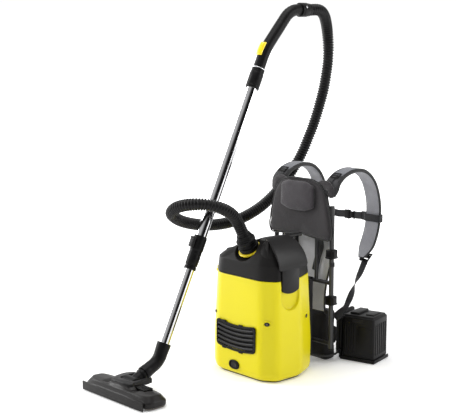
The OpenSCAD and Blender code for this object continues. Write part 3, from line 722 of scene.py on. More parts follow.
MW = T3(-70, -314, 113) @ RX(-25.8)
lathe("socket_ring", [(16.2, 824.2), (18.8, 824.3), (19.0, 824.8), (19.0, 826.2), (18.6, 826.7), (16.7, 826.9)], "aluminium", MW, "handle", m=40, sharp=50)
lathe("tube_socket_shown", [(16.1, 765), (18.6, 765), (19.6, 766.4), (19.6, 772), (19.0, 773), (19.0, 775), (19.6, 776), (19.6, 809), (19.0, 811.4), (18.6, 812.4), (18.6, 823.4), (15, 823.9)], "black_plastic", MW, "handle", replaces=("tube_socket",), m=40, sharp=40)
lathe("lock_sleeve_shown", [(14, 235), (16.4, 235), (17.0, 236.4), (17.4, 246), (17.8, 248), (17.8, 262), (17.3, 263), (17.3, 267), (17.8, 268), (17.8, 272), (17.3, 273), (17.3, 277), (18.4, 279), (18.8, 282), (18.8, 314), (17.8, 319.6), (16.1, 320)],
      "black_plastic", MW, "handle", replaces=("lock_sleeve",), m=40, sharp=40)
rl = [rbox("rs0", (17, 8, 30), 2.4, "grey_plastic", MW @ T3(0, -23.6, 297), "tube_release", replaces=("release_slider",))]
for k in range(4):
    rl.append(rbox("rs%d" % (k + 1), (15, 1.6, 2.2), 0.7, "grey_plastic", MW @ T3(0, -28.2, 287 + k * 5), "tube_release"))
rl.append(rbox("rs9", (17, 6, 5.5), 1.8, "grey_plastic", MW @ T3(0, -27, 309), "tube_release"))
join("release_slider_shown", rl)
lathe("tube_clip", [(14.2, 222.5), (16.6, 223), (17, 224), (17, 230), (16.4, 231.4), (15.2, 232), (15.2, 236), (14.2, 236)], "black_plastic", MW, "handle", m=36, sharp=40)
# notches drawn as near-black slabs on the tube: painted shade in the recesses
for k in range(5):
    rbox("tube_notch%d" % k, (5.0, 0.9, 7.0), 0.4, "dark_hollow", MW @ RZ(-22) @ T3(0, -13.7, 60 + k * 32), "wand_lower")

# nozzle joint
tp = np.array([-425.0, 32.0])
na = math.radians(25)
dn = np.array([math.cos(na), math.sin(na)])
ep = tp + 85 * dn
ec = ep + 50 * np.array([-math.sin(na), math.cos(na)])
el = [tp + 46.3 * dn, tp + 58 * dn, tp + 70 * dn]
el += [ec + 50 * np.array([math.cos(a), math.sin(a)]) for a in np.linspace(na - math.pi / 2, h0 - math.pi / 2, 12)]
el += [onw(-16), onw(-8), onw(10)]
EL = np.array([(-70, a, b) for a, b in el])
Le = np.linalg.norm(np.diff(EL, axis=0), axis=1).sum()
r_e = [19.6, 19.6, 18.4, 18.3, 18.3, 18.3, 18.3, 18.3, 18.3, 18.8, 19.4, 19.4]
tube("nozzle_elbow_shown", EL, r_e, "black_plastic", "wand_lower", m=36, step=3.0, replaces=("nozzle_elbow",), sharp=50)

nb = soften("nozzle_housing", 0.0015, 4, "nozzle_body")
co = np.array([v.co for v in nb.data.vertices])
yk_ = np.interp(co[:, 1], [-0.4925, -0.490, -0.484, -0.478, -0.455, -0.430, -0.412, -0.404, -0.398, -0.3955], [1.50, 1.52, 1.30, 1.14, 1.19, 1.14, 0.99, 0.95, 0.86, 0.74])
hb = np.clip((np.abs(co[:, 0] + 0.070) - 0.050) / 0.026, 0, 1)
hb = hb * hb * (3 - 2 * hb)
front_ = np.clip((-0.462 - co[:, 1]) / 0.010, 0, 1)
hb = np.maximum(hb, front_)
co[:, 2] = 0.0020 + (co[:, 2] - 0.0020) * (1 + (yk_ - 1) * hb)
co[:, 2] = np.maximum(co[:, 2], 0.0006)
nb.data.vertices.foreach_set("co", co.ravel())
nb.data.update()
soften("nozzle_neck", 0.0012, 3, "neck_body")
cov = [(-106, -465), (-88, -468), (-50, -467), (-32, -462), (-27, -452), (-33.5, -444), (-34, -400), (-37, -380), (-44.6, -377), (-45, -440), (-49, -444.5), (-91, -444.5), (-95, -440), (-95.4, -380), (-112, -381), (-124, -388), (-126, -410), (-120, -440)]
cv2 = []
for i in range(len(cov)):
    a_, b_ = np.array(cov[i], float), np.array(cov[(i + 1) % len(cov)], float)
    m_ = max(1, int(np.linalg.norm(b_ - a_) / 5))
    cv2 += [a_ + (b_ - a_) * t_ / m_ for t_ in range(m_)]
cv2 = np.array(cv2)


def cover_z(x, y):
    return 43.8 + 4.6 * (1 - ((x + 76) / 56) ** 2) + 2.0 * (1 - ((y + 425) / 46) ** 2)


nrm_ = np.roll(cv2, -1, 0) - np.roll(cv2, 1, 0)
nrm_ = np.stack([-nrm_[:, 1], nrm_[:, 0]], 1)
nrm_ /= np.linalg.norm(nrm_, axis=1)[:, None]
V = []
for ins, top, dz in ((0.0, 0, 0), (0.0, 1, -2.4), (0.9, 1, -0.7), (2.2, 1, 0.0)):
    for (x, y), n_ in zip(cv2, nrm_):
        x2, y2 = x + n_[0] * ins, y + n_[1] * ins
        V.append((x2, y2, (cover_z(x2, y2) + dz) if top else 33.0))
F = grid_faces(4, len(cv2), True, True, False)
cvo = mk("cover_shown", V, F + [tuple(3 * len(cv2) + k for k in range(len(cv2)))], "grey_plastic", "nozzle", ("centre_cover",), sharp=45)
soften("foot_pedal", 0.0009, 3, "pedal_body", mat="black_plastic")
pr = []
for k in range(4):
    pr.append(rbox("pd%d" % k, (34, 2.0, 1.2), 0.5, "grey_plastic", T3(-70 + 61, -444 + 4 + k * 6, 39.1), "pedal"))
join("pedal_ribs", pr)

rbox("nozzle_skirt", (262, 3.4, 24), 1.6, "nozzle_plastic", T3(-70, -489.6, 13.2), "nozzle")

# brush strips as rows of tufts
V, F = [], []


def tufts(x0, x1, y0, y1, z0, z1, nx, nyy):
    for ix in range(nx):
        for iy in range(nyy):
            cx = x0 + (x1 - x0) * (ix + 0.5) / nx + RNG.uniform(-0.2, 0.2)
            cy = y0 + (y1 - y0) * (iy + 0.5) / nyy + RNG.uniform(-0.1, 0.1)
            lx, ly = RNG.uniform(-0.5, 0.5, 2)
            b = len(V)
            for (zz, r, dx, dy) in ((z1, 0.75, 0, 0), (z0, 0.55, lx, ly)):
                for k in range(5):
                    a = 2 * math.pi * k / 5
                    V.append((cx + dx + r * math.cos(a), cy + dy + r * math.sin(a), zz))
            for k in range(5):
                j = (k + 1) % 5
                F.append((b + k, b + j, b + 5 + j, b + 5 + k))
            F.append((b + 5, b + 6, b + 7, b + 8, b + 9))


tufts(-70 - 121, -70 + 121, -487.6, -484.2, 1.2, 9.5, 122, 2)
tufts(-70 - 124, -70 - 64, -431, -426, 0.3, 8.3, 32, 2)
tufts(-70 + 64, -70 + 124, -431, -426, 0.3, 8.3, 32, 2)
bt = mk("brush_tufts", V, F, "bristle", "brush", ("brush_strips",))

# ------------------------------------------------------------------ padded fabric


def puffed(node, name, voxel=0.005, pressure=4.0, cap=0.004, mat=None, shrink=0.0, shift=(0, 0, 0)):
    """A stuffed piece that takes a CAD solid's size: remeshed, blown up a little as cloth, then smoothed."""
    src = NODES[node]
    o = bpy.data.objects.new(name, src.data.copy())
    sc.collection.objects.link(o)
    md = o.modifiers.new("r", "REMESH")
    md.mode = "VOXEL"
    md.voxel_size = voxel
    md = o.modifiers.new("s", "SMOOTH")
    md.factor = 0.5
    md.iterations = 3
    me = evaluated(o)
    o.modifiers.clear()
    o.data = me
    rest = np.array([v.co for v in me.vertices])
    md = o.modifiers.new("c", "CLOTH")
    st = md.settings
    st.quality = 4
    st.mass = 0.25
    st.tension_stiffness = 8
    st.compression_stiffness = 8
    st.shear_stiffness = 4
    st.bending_stiffness = 0.6
    st.use_pressure = True
    st.uniform_pressure_force = pressure
    st.effector_weights.gravity = 0.0
    md.collision_settings.use_collision = False
    for fr in range(1, 21):
        sc.frame_set(fr)
    me2 = evaluated(o)
    co = np.array([v.co for v in me2.vertices])
    o.modifiers.clear()
    sc.frame_set(1)
    if len(co) == len(rest):
        d = co - rest
        d -= d.mean(0)
        ln = np.linalg.norm(d, axis=1)
        f = np.minimum(1, cap / np.maximum(ln, 1e-9))
        co = rest + d * f[:, None]
        me.vertices.foreach_set("co", co.ravel())
        me.update()
    md = o.modifiers.new("sub", "SUBSURF")
    md.levels = 1
    md.render_levels = 1
    me3 = evaluated(o)
    o.modifiers.clear()
    o.data = me3
    me3.name = name
    me3.materials.clear()
    me3.materials.append(MATS[mat or SLOT[node]])
    me3.polygons.foreach_set("use_smooth", [True] * len(me3.polygons))
    cz = np.array([v.co for v in me3.vertices])
    if cz[:, 2].min() < 0.0003:
        cz[:, 2] = np.maximum(cz[:, 2], 0.0003)
        me3.vertices.foreach_set("co", cz.ravel())
        me3.update()
    if any(shift):
        me3.transform(Matrix.Translation(Vector(shift)))
    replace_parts(o, node)
    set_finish(o, SLOT[node])
    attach(o, NODES[node]["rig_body"])
    return o


panel = puffed("back_panel", "back_panel_shown", voxel=0.0048, cap=0.0035)
pillow = puffed("pillow_pad", "pillow_shown", voxel=0.0045, cap=0.003, mat="pad_fabric")
lumbar = puffed("lumbar_pad", "lumbar_shown", voxel=0.006, cap=0.003, mat="dark_fabric")
wings = puffed("hip_wings", "wings_shown", voxel=0.005, cap=0.002, mat="dark_fabric")

# edge piping and quilting seams of the back panel
pan = np.array([[-123, 374], [-127, 392], [-120, 440], [-104, 500], [-80, 532], [-40, 546], [40, 546], [80, 532], [104, 500], [120, 440], [127, 392], [123, 374], [70, 370], [0, 376], [-70, 370]], float)
pc = spline(np.vstack([pan, pan[:1]]), 6)
pv = np.array([v.co for v in panel.data.vertices]) / MM
pa = np.arctan2(pv[:, 2] - 459, pv[:, 0])
prd = np.hypot(pv[:, 2] - 459, pv[:, 0])
pc2 = []
for x, z in pc:
    a_ = math.atan2(z - 459, x)
    near = np.abs((pa - a_ + math.pi) % (2 * math.pi) - math.pi) < 0.035
    r_ = prd[near].max() - 0.6
    pc2.append((r_ * math.cos(a_), 459 + r_ * math.sin(a_)))
pc = np.array(pc2)
pp = []
for yy in (146.5, 154.5):
    pp.append(tube("pp%d" % yy, [(x, yy, z) for x, z in pc], 1.9, "piping", "harness", m=8, step=5, n0=(0, 1, 0)))
seam = spline([(-104, 452), (-60, 436), (0, 430), (60, 436), (104, 452)], 8)
pp.append(tube("pp3", [(x, 144.3, z) for x, z in seam], 0.9, "piping", "harness", m=6, step=6, n0=(0, 1, 0)))
seam = spline([(-112, 398), (-60, 393), (0, 392), (60, 393), (112, 398)], 8)
pp.append(tube("pp4", [(x, 144.4, z) for x, z in seam], 0.9, "piping", "harness", m=6, step=6, n0=(0, 1, 0)))
join("panel_piping", pp)
# shoulder yokes between the panel corners and the strap roots
for side, nm in ((1, "right"), (-1, "left")):
    yk = spline([(58, 533), (82, 542), (106, 537), (121, 520), (122.5, 503), (117, 495), (107, 495), (97, 506), (78, 524), (58, 533)], 5)[:-1]
    rings = []
    for y, k_ in ((154.0, 0.97), (155.0, 1.0), (160.5, 1.0), (162.0, 0.96)):
        rings += [((96 + (x - 96) * k_) * side, y, 512 + (z - 512) * k_) for x, z in yk]
    mk("shoulder_yoke_" + nm, rings, grid_faces(4, len(yk)), "harness_fabric", "harness")
a = np.linspace(0, 2 * math.pi, 61)
pil = [(66.5 * np.sign(math.cos(t)) * abs(math.cos(t)) ** 0.45, 136.5, 492.5 + 38.5 * np.sign(math.sin(t)) * abs(math.sin(t)) ** 0.45) for t in a]
tube("pillow_piping", pil, 1.5, "piping", "harness", m=8, step=4, n0=(0, 1, 0))

# ------------------------------------------------------------------ shoulder straps
SP = spline([[161.5, 497], [164, 510], [173, 534], [202, 555], [247, 565], [291, 557], [328, 525], [349, 474], [353, 422], [343, 372], [323, 330], [300, 301]], 8)
SPr, su = resample(SP, step=4.0)
SL = su[-1]
TS = np.gradient(SPr, axis=0)
TS /= np.linalg.norm(TS, axis=1)[:, None]
NS = np.stack([-TS[:, 1], TS[:, 0]], 1)


def strap(side, name, node):
    V, UV, fm = [], [], []
    xs = side * 105.0
    # section : closed loop, outer face first
    nw = 16
    sec = [(-1 + 2 * k / nw, 1) for k in range(nw + 1)] + [(1 - 2 * k / nw, -1) for k in range(nw + 1)]
    m = len(sec)
    for i, (c, n_) in enumerate(zip(SPr, NS)):
        s = su[i]
        w = 27.0
        if s > SL - 46:
            t = (s - (SL - 46)) / 46
            w = 27.0 * (1 - 0.62 * t ** 1.6)
        if s < 26:
            w = 27.0 * (0.62 + 0.38 * math.sin(math.pi / 2 * s / 26))
        th = 6.6 * (1 - 0.35 * max(0, (s - (SL - 60)) / 60)) * (0.75 + 0.25 * min(1, s / 25))
        puff = 1.0 + 0.05 * math.sin(s / 23.0) + 0.04 * math.sin(s / 9.1 + 1)
        for (f, o_) in sec:
            e = (1 - abs(f) ** 5) ** 0.5
            bulge = 0.55 + 0.45 * e
            if abs(f) > 0.86:
                bulge *= 0.72
            hh = o_ * th * bulge * (puff if abs(f) < 0.8 else 1)
            wob = 0.5 * math.sin(s / 31 + 2 * f)
            V.append((xs + side * f * w + wob * 0.4, c[0] + n_[0] * hh, c[1] + n_[1] * hh))
            UV.append((f * w * MM, s * MM))
    n = len(SPr)
    F = grid_faces(n, m)
    for i in range(n - 1):
        for k in range(m):
            f, o_ = sec[k]
            f2 = sec[(k + 1) % m][0]
            fa = abs((f + f2) / 2)
            if fa > 0.84 or k in (nw, m - 1):
                fm.append(1)
            elif o_ < 0:
                fm.append(2)
            elif 62 < su[i] < 205 and fa < 0.74:
                fm.append(3)
            else:
                fm.append(0)
    fm += [1, 1]
    ob = mk(name, V, F, "strap_fabric", "harness", (node,), slot="strap_fabric", uv=UV, mats=["strap_fabric", "piping", "lining_mesh", "light_patch"], fmat=fm)
    return ob


def ribbon(name, C, W, half, th, mat, body, **kw):
    """Flat band: centreline C, width directions W (unit), half width, thickness."""
    C = np.asarray(C, float)
    W = np.asarray(W, float)
    W = np.broadcast_to(W, C.shape) if W.ndim == 1 else W
    T = np.gradient(C, axis=0)
    T /= np.linalg.norm(T, axis=1)[:, None]
    Wn = W - T * (W * T).sum(1)[:, None]
    Wn /= np.linalg.norm(Wn, axis=1)[:, None]
    N = np.cross(T, Wn)
    Ls = np.r_[0, np.cumsum(np.linalg.norm(np.diff(C, axis=0), axis=1))]
    hw = np.full(len(C), half) if np.isscalar(half) else np.asarray(half)
    sec = [(-1, 0.35), (-0.9, 0.5), (-0.45, 0.5), (0, 0.5), (0.45, 0.5), (0.9, 0.5), (1, 0.35), (1, -0.35), (0.9, -0.5), (0.45, -0.5), (0, -0.5), (-0.45, -0.5), (-0.9, -0.5), (-1, -0.35)]
    V, UV = [], []
    for i in range(len(C)):
        for f, t in sec:
            V.append(C[i] + Wn[i] * f * hw[i] + N[i] * t * th)
            UV.append((f * hw[i] * MM, Ls[i] * MM))
    return mk(name, V, grid_faces(len(C), len(sec)), mat, body, uv=UV, **kw)


for side, nm in ((1, "right"), (-1, "left")):
    strap(side, "strap_%s_shown" % nm, "strap_" + nm)
    # centre webbing sewn on the outer face
    sel = (su > 205) & (su < SL - 8)
    C = np.array([(side * 105, c[0] + n_[0] * 7.6, c[1] + n_[1] * 7.6) for c, n_ in zip(SPr[sel], NS[sel])])
    ribbon("strap_web_" + nm, C, (1, 0, 0), 7.5, 1.6, "webbing", "harness")
    # stitched edge lines
    sel = (su > 30) & (su < SL - 8)
    for e in (-1, 1):
        C = np.array([(side * 105 + e * 21.4, c[0] + n_[0] * 6.0, c[1] + n_[1] * 6.0) for c, n_ in zip(SPr[sel], NS[sel])])
        tube("strap_seam_%s_%d" % (nm, e + 1), C[2:-10], 0.9, "piping", "harness", m=6, step=8)
    # shoulder adjuster at the front of the panel
    i0 = int(np.argmin(abs(su - 58)))
    c, n_, t_ = SPr[i0], NS[i0], TS[i0]
    ang_ = math.degrees(math.atan2(t_[1], t_[0]))
    M = T3(side * 105, c[0] + n_[0] * 9.6, c[1] + n_[1] * 9.6) @ RX(ang_)
    bl = [rbox("ad0" + nm, (30, 3.2, 3.4), 1.2, "black_plastic", M @ T3(0, -9, 0), "harness"), rbox("ad1" + nm, (30, 3.2, 3.4), 1.2, "black_plastic", M @ T3(0, 9, 0), "harness"),
          rbox("ad2" + nm, (3.2, 20, 3.4), 1.2, "black_plastic", M @ T3(-13.5, 0, 0), "harness"), rbox("ad3" + nm, (3.2, 20, 3.4), 1.2, "black_plastic", M @ T3(13.5, 0, 0), "harness"),
          rbox("ad4" + nm, (26, 3, 3), 1.0, "grey_plastic", M @ T3(0, 0, 0.4), "harness")]
    join("shoulder_adjuster_" + nm, bl)
    # load lifter from the panel corner to the adjuster
    A = np.array([side * 92, 150, 498])
    Bp = np.array([side * 103, c[0] + n_[0] * 9, c[1] + n_[1] * 9])
    C = spline([A, A * 0.5 + Bp * 0.5 + np.array([0, -5, 6]), Bp], 8)
    ribbon("load_lifter_" + nm, C, (1, 0, 0), 8, 1.6, "webbing", "harness")

# ladder locks at the strap tips
for side, nm in ((1, "right"), (-1, "left")):
    M = T3(side * 105, 327, 294) @ RX(-50) @ T3(0, -8.5, 0)
    bl = []
    for z in (-12, -1.5, 11):
        bl.append(rbox("lk%d" % len(bl) + nm, (34, 5, 4.6), 1.8, "black_plastic", M @ T3(0, 0, z), "harness"))
    for x in (-15, 15):
        bl.append(rbox("lk%d" % len(bl) + nm, (4.6, 5, 28), 1.8, "black_plastic", M @ T3(x, 0, 0), "harness"))
    bl.append(rbox("lk%d" % len(bl) + nm, (24, 4, 9), 1.6, "black_plastic", M @ T3(0, -3.4, -15), "harness"))
    ob = join("ladderlock_" + nm, bl)
    if side == 1:
        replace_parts(ob, "strap_ladderlocks")
    # short loop that holds the lock on the strap tip
    C = spline([(side * 105, 316, 322), (side * 105, 325, 312), (side * 105, 325, 303), (side * 105, 316, 300), (side * 105, 306, 306)], 6)
    ribbon("lock_loop_" + nm, C, (1, 0, 0), 11, 1.6, "webbing", "harness")

# lower adjustment webbing, twisted once
for side, nm in ((1, "right"), (-1, "left")):
    low = [(66, 232, 122), (84, 229, 138)] if side == 1 else [(-97.5, 226.5, 118), (-102, 226, 138)]
    C = spline(low + [(side * 105, 231, 158), (side * 107, 244, 178), (side * 106, 262, 204), (side * 104, 280, 231), (side * 105, 298, 257), (side * 105, 313, 281), (side * 105, 318.5, 291)], 8)
    n = len(C)
    tt = np.linspace(0, 1, n)
    aa = math.pi * (3 * np.clip((tt - 0.3) / 0.45, 0, 1) ** 2 - 2 * np.clip((tt - 0.3) / 0.45, 0, 1) ** 3)
    T = np.gradient(C, axis=0)
    T /= np.linalg.norm(T, axis=1)[:, None]
    X = np.array([1.0, 0, 0])
    W = np.array([X * math.cos(a_) + np.cross(t_, X) * math.sin(a_) for a_, t_ in zip(aa, T)])
    ob = ribbon("lower_webbing_" + nm, C, W, 12.0 - 3.0 * np.sin(math.pi * tt) ** 2, 1.7, "webbing", None)
    if side == 1:
        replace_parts(ob, "strap_webbing")
    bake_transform(ob)

# hip belt webs that carry the wings from the pad
for s_, pts in ((1, [(62, 205), (72, 222), (68, 236), (66, 252), (62, 282), (58, 318), (54, 350)]), (-1, [(-84, 206), (-97, 221), (-101, 236), (-99.5, 252), (-96, 280), (-92, 312), (-89, 338)])):
    C = spline([(x, y, 76) for x, y in pts], 6)
    ribbon("hip_belt_%s" % ("right" if s_ > 0 else "left"), C, (0, 0, 1), [34 - 16 * min(1, k / 12) for k in range(len(C))], 7.0 if s_ < 0 else 6.0, "dark_fabric", "root")

# sternum strap : two bands, buckle, loops round the shoulder straps
C = spline([(18, 364, 411), (45, 363.5, 412.5), (75, 363, 415), (98, 363, 416), (112, 363, 416)], 8)
ribbon("sternum_right", C, (0, 0, 1), 11, 1.8, "webbing", "harness", replaces=("sternum_strap",))
C = spline([(-18, 364, 411), (-45, 363, 409), (-75, 362.5, 413), (-98, 363, 416), (-112, 363, 416)], 8)
ribbon("sternum_left", C, (0, 0, 1), 11, 1.8, "webbing", "harness")
for side, nm in ((1, "right"), (-1, "left")):
    lp = []
    for t in np.linspace(0, 2 * math.pi, 41):
        cx, cy = math.cos(t), math.sin(t)
        lp.append((side * 105 + 30.5 * np.sign(cx) * abs(cx) ** 0.35, 351.8 + 10.3 * np.sign(cy) * abs(cy) ** 0.55, 415))
    ribbon("sternum_loop_" + nm, lp, (0, 0, 1), 11, 1.6, "webbing", "harness")
bk = [rbox("sb0", (24, 9, 27), 3, "black_plastic", T3(-5, 363, 411), "harness", replaces=("sternum_buckle",)), rbox("sb1", (12, 7, 20), 2.2, "black_plastic", T3(13, 363, 411), "harness"),
      rbox("sb2", (5, 6, 29), 1.8, "grey_plastic", T3(-2, 363, 411), "harness"), rbox("sb3", (3.4, 4.6, 26), 1.4, "black_plastic", T3(19.5, 363.5, 411), "harness")]
for x, z in ((50, 413), (68, 414)):
    bk.append(rbox("sa%d" % x, (3.6, 4.6, 25), 1.3, "black_plastic", T3(x, 364.4, z), "harness"))
bk.append(rbox("sa9", (18, 2.2, 2.6), 0.9, "black_plastic", T3(59, 365, 425.5), "harness"))
bk.append(rbox("sa8", (18, 2.2, 2.6), 0.9, "black_plastic", T3(59, 365, 401.5), "harness"))
join("sternum_buckle_shown", bk)
# bright steel rods beside the buckle and adjuster bars: painted glints
gl = [tube("gl0", [(27, 366.5, 400), (27, 367, 411), (27, 366.5, 422)], 1.0, "steel", "harness", m=8, step=4), tube("gl1", [(72, 367, 403), (72, 367.5, 414), (72, 367, 425)], 1.0, "steel", "harness", m=8, step=4)]
join("sternum_glint_rods", gl)

# ------------------------------------------------------------------ mesh back, frame details
MZ, MW_ = [150, 175, 200, 230, 262, 295, 322, 345, 372], [74, 72, 73, 77, 84, 93, 101, 101, 97]
nx_, nz_ = 31, 37
V, UV = [], []
for side in (0, 1):
    for i in range(nz_):
        z = 150 + 222 * i / (nz_ - 1)
        hw = float(np.interp(z, MZ, MW_))
        for k in range(nx_):
            f = -1 + 2 * k / (nx_ - 1)
            y = 178.4 + 2.2 * (1 - f * f) * math.sin(math.pi * i / (nz_ - 1)) + (0 if side == 0 else 1.6)
            V.append((f * hw, y, z))
            UV.append((f * hw * MM, z * MM))
F = []
q = nx_ * nz_
for i in range(nz_ - 1):
    for k in range(nx_ - 1):
        a, b, c, d = i * nx_ + k, i * nx_ + k + 1, (i + 1) * nx_ + k + 1, (i + 1) * nx_ + k
        F += [(a, b, c, d), (q + d, q + c, q + b, q + a)]
rim = [k for k in range(nx_)] + [i * nx_ + nx_ - 1 for i in range(1, nz_)] + [(nz_ - 1) * nx_ + k for k in range(nx_ - 2, -1, -1)] + [i * nx_ for i in range(nz_ - 2, 0, -1)]
for i in range(len(rim)):
    a, b = rim[i], rim[(i + 1) % len(rim)]
    F.append((b, a, q + a, q + b))
bm_ = mk("back_mesh_shown", V, F, "mesh_fabric", "root", ("back_mesh",), uv=UV)
ed = []
for s in (-1, 1):
    e_ = spline([(s * w_, 179.2, z) for z, w_ in zip(MZ, MW_)], 5)
    ed.append(tube("ed%d" % s, e_, 3.0, "piping", "root", m=10, step=8, n0=(0, 1, 0)))
for z in (150, 372):
    w_ = float(np.interp(z, MZ, MW_))
    ed.append(tube("ee%d" % z, [(-w_, 179.2, z), (0, 180.8, z), (w_, 179.2, z)], 2.6, "piping", "root", m=8, step=12, n0=(0, 0, 1)))
for s in (-1, 1):
    for z in (300,):
        ed.append(ribbon("lc%d_%d" % (s, z), spline([(s * 96, 181, z), (s * 104, 180, z), (s * 113, 173.5, z), (s * 120, 165, z), (s * 113, 156.5, z)], 4), (0, 0, 1), 6, 1.2, "webbing", "root"))
    ed.append(ribbon("lf%d" % s, spline([(s * 74, 180, 152), (s * 88, 181, 148), (s * 104, 178, 142), (s * 118, 165, 138), (s * 110, 156.5, 138)], 4), (0, 0, 1), 7, 1.2, "webbing", "root"))
join("mesh_binding", ed)

# clamps : rounded blocks with a lever and a flat plate
for s, nm in ((1, "right"), (-1, "left")):
    bl = []
    for z in (182, 318):
        bl.append(rbox("fc%d" % z + nm, (25, 26, 27), 3.2, "black_plastic", T3(s * 111, 163.6, z + 13), "root"))
        bl.append(rbox("fd%d" % z + nm, (8, 14, 20), 2.4, "grey_plastic", T3(s * 124.5, 162, z + 13), "root"))
        bl.append(rbox("fe%d" % z + nm, (27.5, 27.5, 4), 1.5, "black_plastic", T3(s * 111, 163.6, z + 3.5), "root"))
    ob = join("clamps_" + nm, bl)
    if s == 1:
        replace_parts(ob, "frame_clamps")
    C = spline([(s * 66, 160, 372), (s * 60, 172, 345), (s * 46, 176, 312), (s * 34, 176, 270)], 8)
    ps_ = ribbon("panel_strap_" + nm, C, (1, 0, 0.2), 11, 1.6, "webbing", None)
    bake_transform(ps_)
for s in (-1, 1):
    lathe("tube_cap%d" % (s + 1), [(7.0, 51.9), (7.6, 51.9), (7.9, 50.6), (7.4, 48.6), (5.5, 47.6), (0.001, 47.4)], "black_plastic", T3(s * 111, 164, 0), "root", m=24, sharp=50)

# battery cable, smooth
CR = spline([[40, 101.4, 34], [41, 122, 32], [49, 146, 26], [66, 168, 20], [84, 190, 19], [88, 214, 22], [82.5, 237, 28]], 10)
cab = tube("battery_cable_shown", CR, 3.0, "cable_rubber", "root", m=14, step=2.5, n0=(0, 0, 1), replaces=("battery_cable",))
lathe("cable_relief0", [(6.2, -1), (6.0, 3), (4.8, 10), (3.9, 22), (3.1, 24)], "black_plastic", T3(40, 101.6, 34) @ RX(-88), "root", m=20, sharp=50)

# ------------------------------------------------------------------ battery
MB = T3(126, 298, 0) @ RZ(14)
bw, bd = 104, 92
bp_ = []
bp_.append(rbox("b0", (bw, bd, 126), 6, "battery_plastic", MB @ T3(0, 0, 6.8 + 63), "battery", seg=4, replaces=("battery_pack",)))
bp_.append(rbox("b1", (bw - 8, bd - 8, 12), 4, "battery_plastic", MB @ T3(0, 0, 131), "battery", seg=3))
bp_.append(rbox("b2", (30, bd - 26, 9), 3.2, "battery_plastic", MB @ T3(-20, 4, 138.5), "battery", seg=3))
bp_.append(rbox("b3", (26, bd - 40, 5), 2.0, "battery_plastic", MB @ T3(26, 4, 137.5), "battery", seg=3))
for k in range(6):
    bp_.append(rbox("br%d" % k, (2.4, 6.5, 92), 1.0, "battery_plastic", MB @ T3(bw / 2 + 0.3, -bd / 2 + 16 + k * 12.5, 68), "battery", seg=2))
for k in range(5):
    bp_.append(rbox("bf%d" % k, (4.2, 2.2, 96), 0.9, "battery_plastic", MB @ T3(-bw / 2 + 11 + k * 7.5, -bd / 2 - 0.4, 68), "battery", seg=2))
bp_.append(rbox("bp1", (46, 1.8, 88), 0.8, "battery_plastic", MB @ T3(22, -bd / 2 - 0.3, 62), "battery", seg=2))
join("battery_shown", bp_)
hl = [rbox("h0", (bw + 8, bd + 8, 6.2), 2.2, "battery_plastic", MB @ T3(0, 0, 3.2), "root", replaces=("battery_holder",)), rbox("h1", (9, bd - 6, 122), 2.6, "battery_plastic", MB @ T3(-bw / 2 - 7.5, 0, 62), "root")]
hl.append(rbox("h2", (bw + 2, 3, 5), 1.0, "battery_plastic", MB @ T3(0, -bd / 2 - 2.3, 8), "root"))
hl.append(rbox("h3", (3, bd + 2, 5), 1.0, "battery_plastic", MB @ T3(bw / 2 + 2.3, 0, 8), "root"))
join("battery_holder_shown", hl)

# ------------------------------------------------------------------ floor, light
fl = bpy.data.meshes.new("floor")
fl.from_pydata([(-30, -30, -0.0006), (30, -30, -0.0006), (30, 30, -0.0006), (-30, 30, -0.0006)], [], [(0, 1, 2, 3)])
flo = bpy.data.objects.new("floor", fl)
sc.collection.objects.link(flo)
fm_ = bpy.data.materials.new("floor")
fm_.use_nodes = True
fb = fm_.node_tree.nodes["Principled BSDF"]
fb.inputs["Base Color"].default_value = (0.93, 0.93, 0.93, 1)
fb.inputs["Roughness"].default_value = 0.75
fb.inputs["Specular IOR Level"].default_value = 0.1
fb.inputs["Emission Color"].default_value = (1, 1, 1, 1)
nt = fm_.node_tree
tc = nd(nt, "ShaderNodeTexCoord")
ln = nd(nt, "ShaderNodeVectorMath", operation="LENGTH")
mr = nd(nt, "ShaderNodeMapRange", interpolation_type="SMOOTHSTEP")
mr.inputs["From Min"].default_value = 0.5
mr.inputs["From Max"].default_value = 3.2
mr.inputs["To Min"].default_value = 0.16
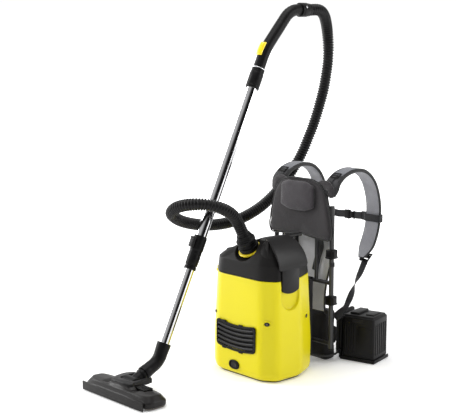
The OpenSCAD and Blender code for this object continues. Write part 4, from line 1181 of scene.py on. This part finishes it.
mr.inputs["To Max"].default_value = 1.0
nt.links.new(tc.outputs["Object"], ln.inputs[0])
nt.links.new(ln.outputs["Value"], mr.inputs["Value"])
nt.links.new(mr.outputs["Result"], fb.inputs["Emission Strength"])
fl.materials.append(fm_)

w = bpy.data.worlds.new("world")
sc.world = w
w.use_nodes = True
nt = w.node_tree
bg = nt.nodes["Background"]
bg.inputs[0].default_value = (1, 1, 1, 1)
tc = nd(nt, "ShaderNodeTexCoord")
dt = nd(nt, "ShaderNodeVectorMath", operation="DOT_PRODUCT")
dt.inputs[1].default_value = (-0.98, 0.07, 0.0)
nt.links.new(tc.outputs["Generated"], dt.inputs[0])
mrs = []
for a_, b_, c_, d_ in ((-0.90, -0.25, 0.01, 0.66), (0.25, 0.6, 0.0, 0.38)):
    mr = nd(nt, "ShaderNodeMapRange", interpolation_type="SMOOTHSTEP")
    mr.inputs["From Min"].default_value = a_
    mr.inputs["From Max"].default_value = b_
    mr.inputs["To Min"].default_value = c_
    mr.inputs["To Max"].default_value = d_
    nt.links.new(dt.outputs["Value"], mr.inputs["Value"])
    mrs.append(mr)
su_ = nd(nt, "ShaderNodeMath", operation="ADD")
nt.links.new(mrs[0].outputs["Result"], su_.inputs[0])
nt.links.new(mrs[1].outputs["Result"], su_.inputs[1])
nt.links.new(su_.outputs[0], bg.inputs[1])


def area(name, loc, target, size, power, col=(1, 1, 1)):
    d = bpy.data.lights.new(name, "AREA")
    d.shape = "RECTANGLE"
    d.size, d.size_y = size
    d.energy = power
    d.color = col
    o = bpy.data.objects.new(name, d)
    o.location = loc
    o.rotation_euler = (Vector(target) - Vector(loc)).to_track_quat("-Z", "Y").to_euler()
    sc.collection.objects.link(o)
    return o


area("key_left", (-3.5, -2.1, 1.9), (0, 0, 0.35), (1.5, 2.4), 118)
area("key_right", (3.1, 2.2, 1.7), (0.05, 0.1, 0.35), (1.4, 2.2), 60)
area("top", (0.0, -0.1, 3.2), (0, 0, 0.3), (2.0, 2.0), 50)
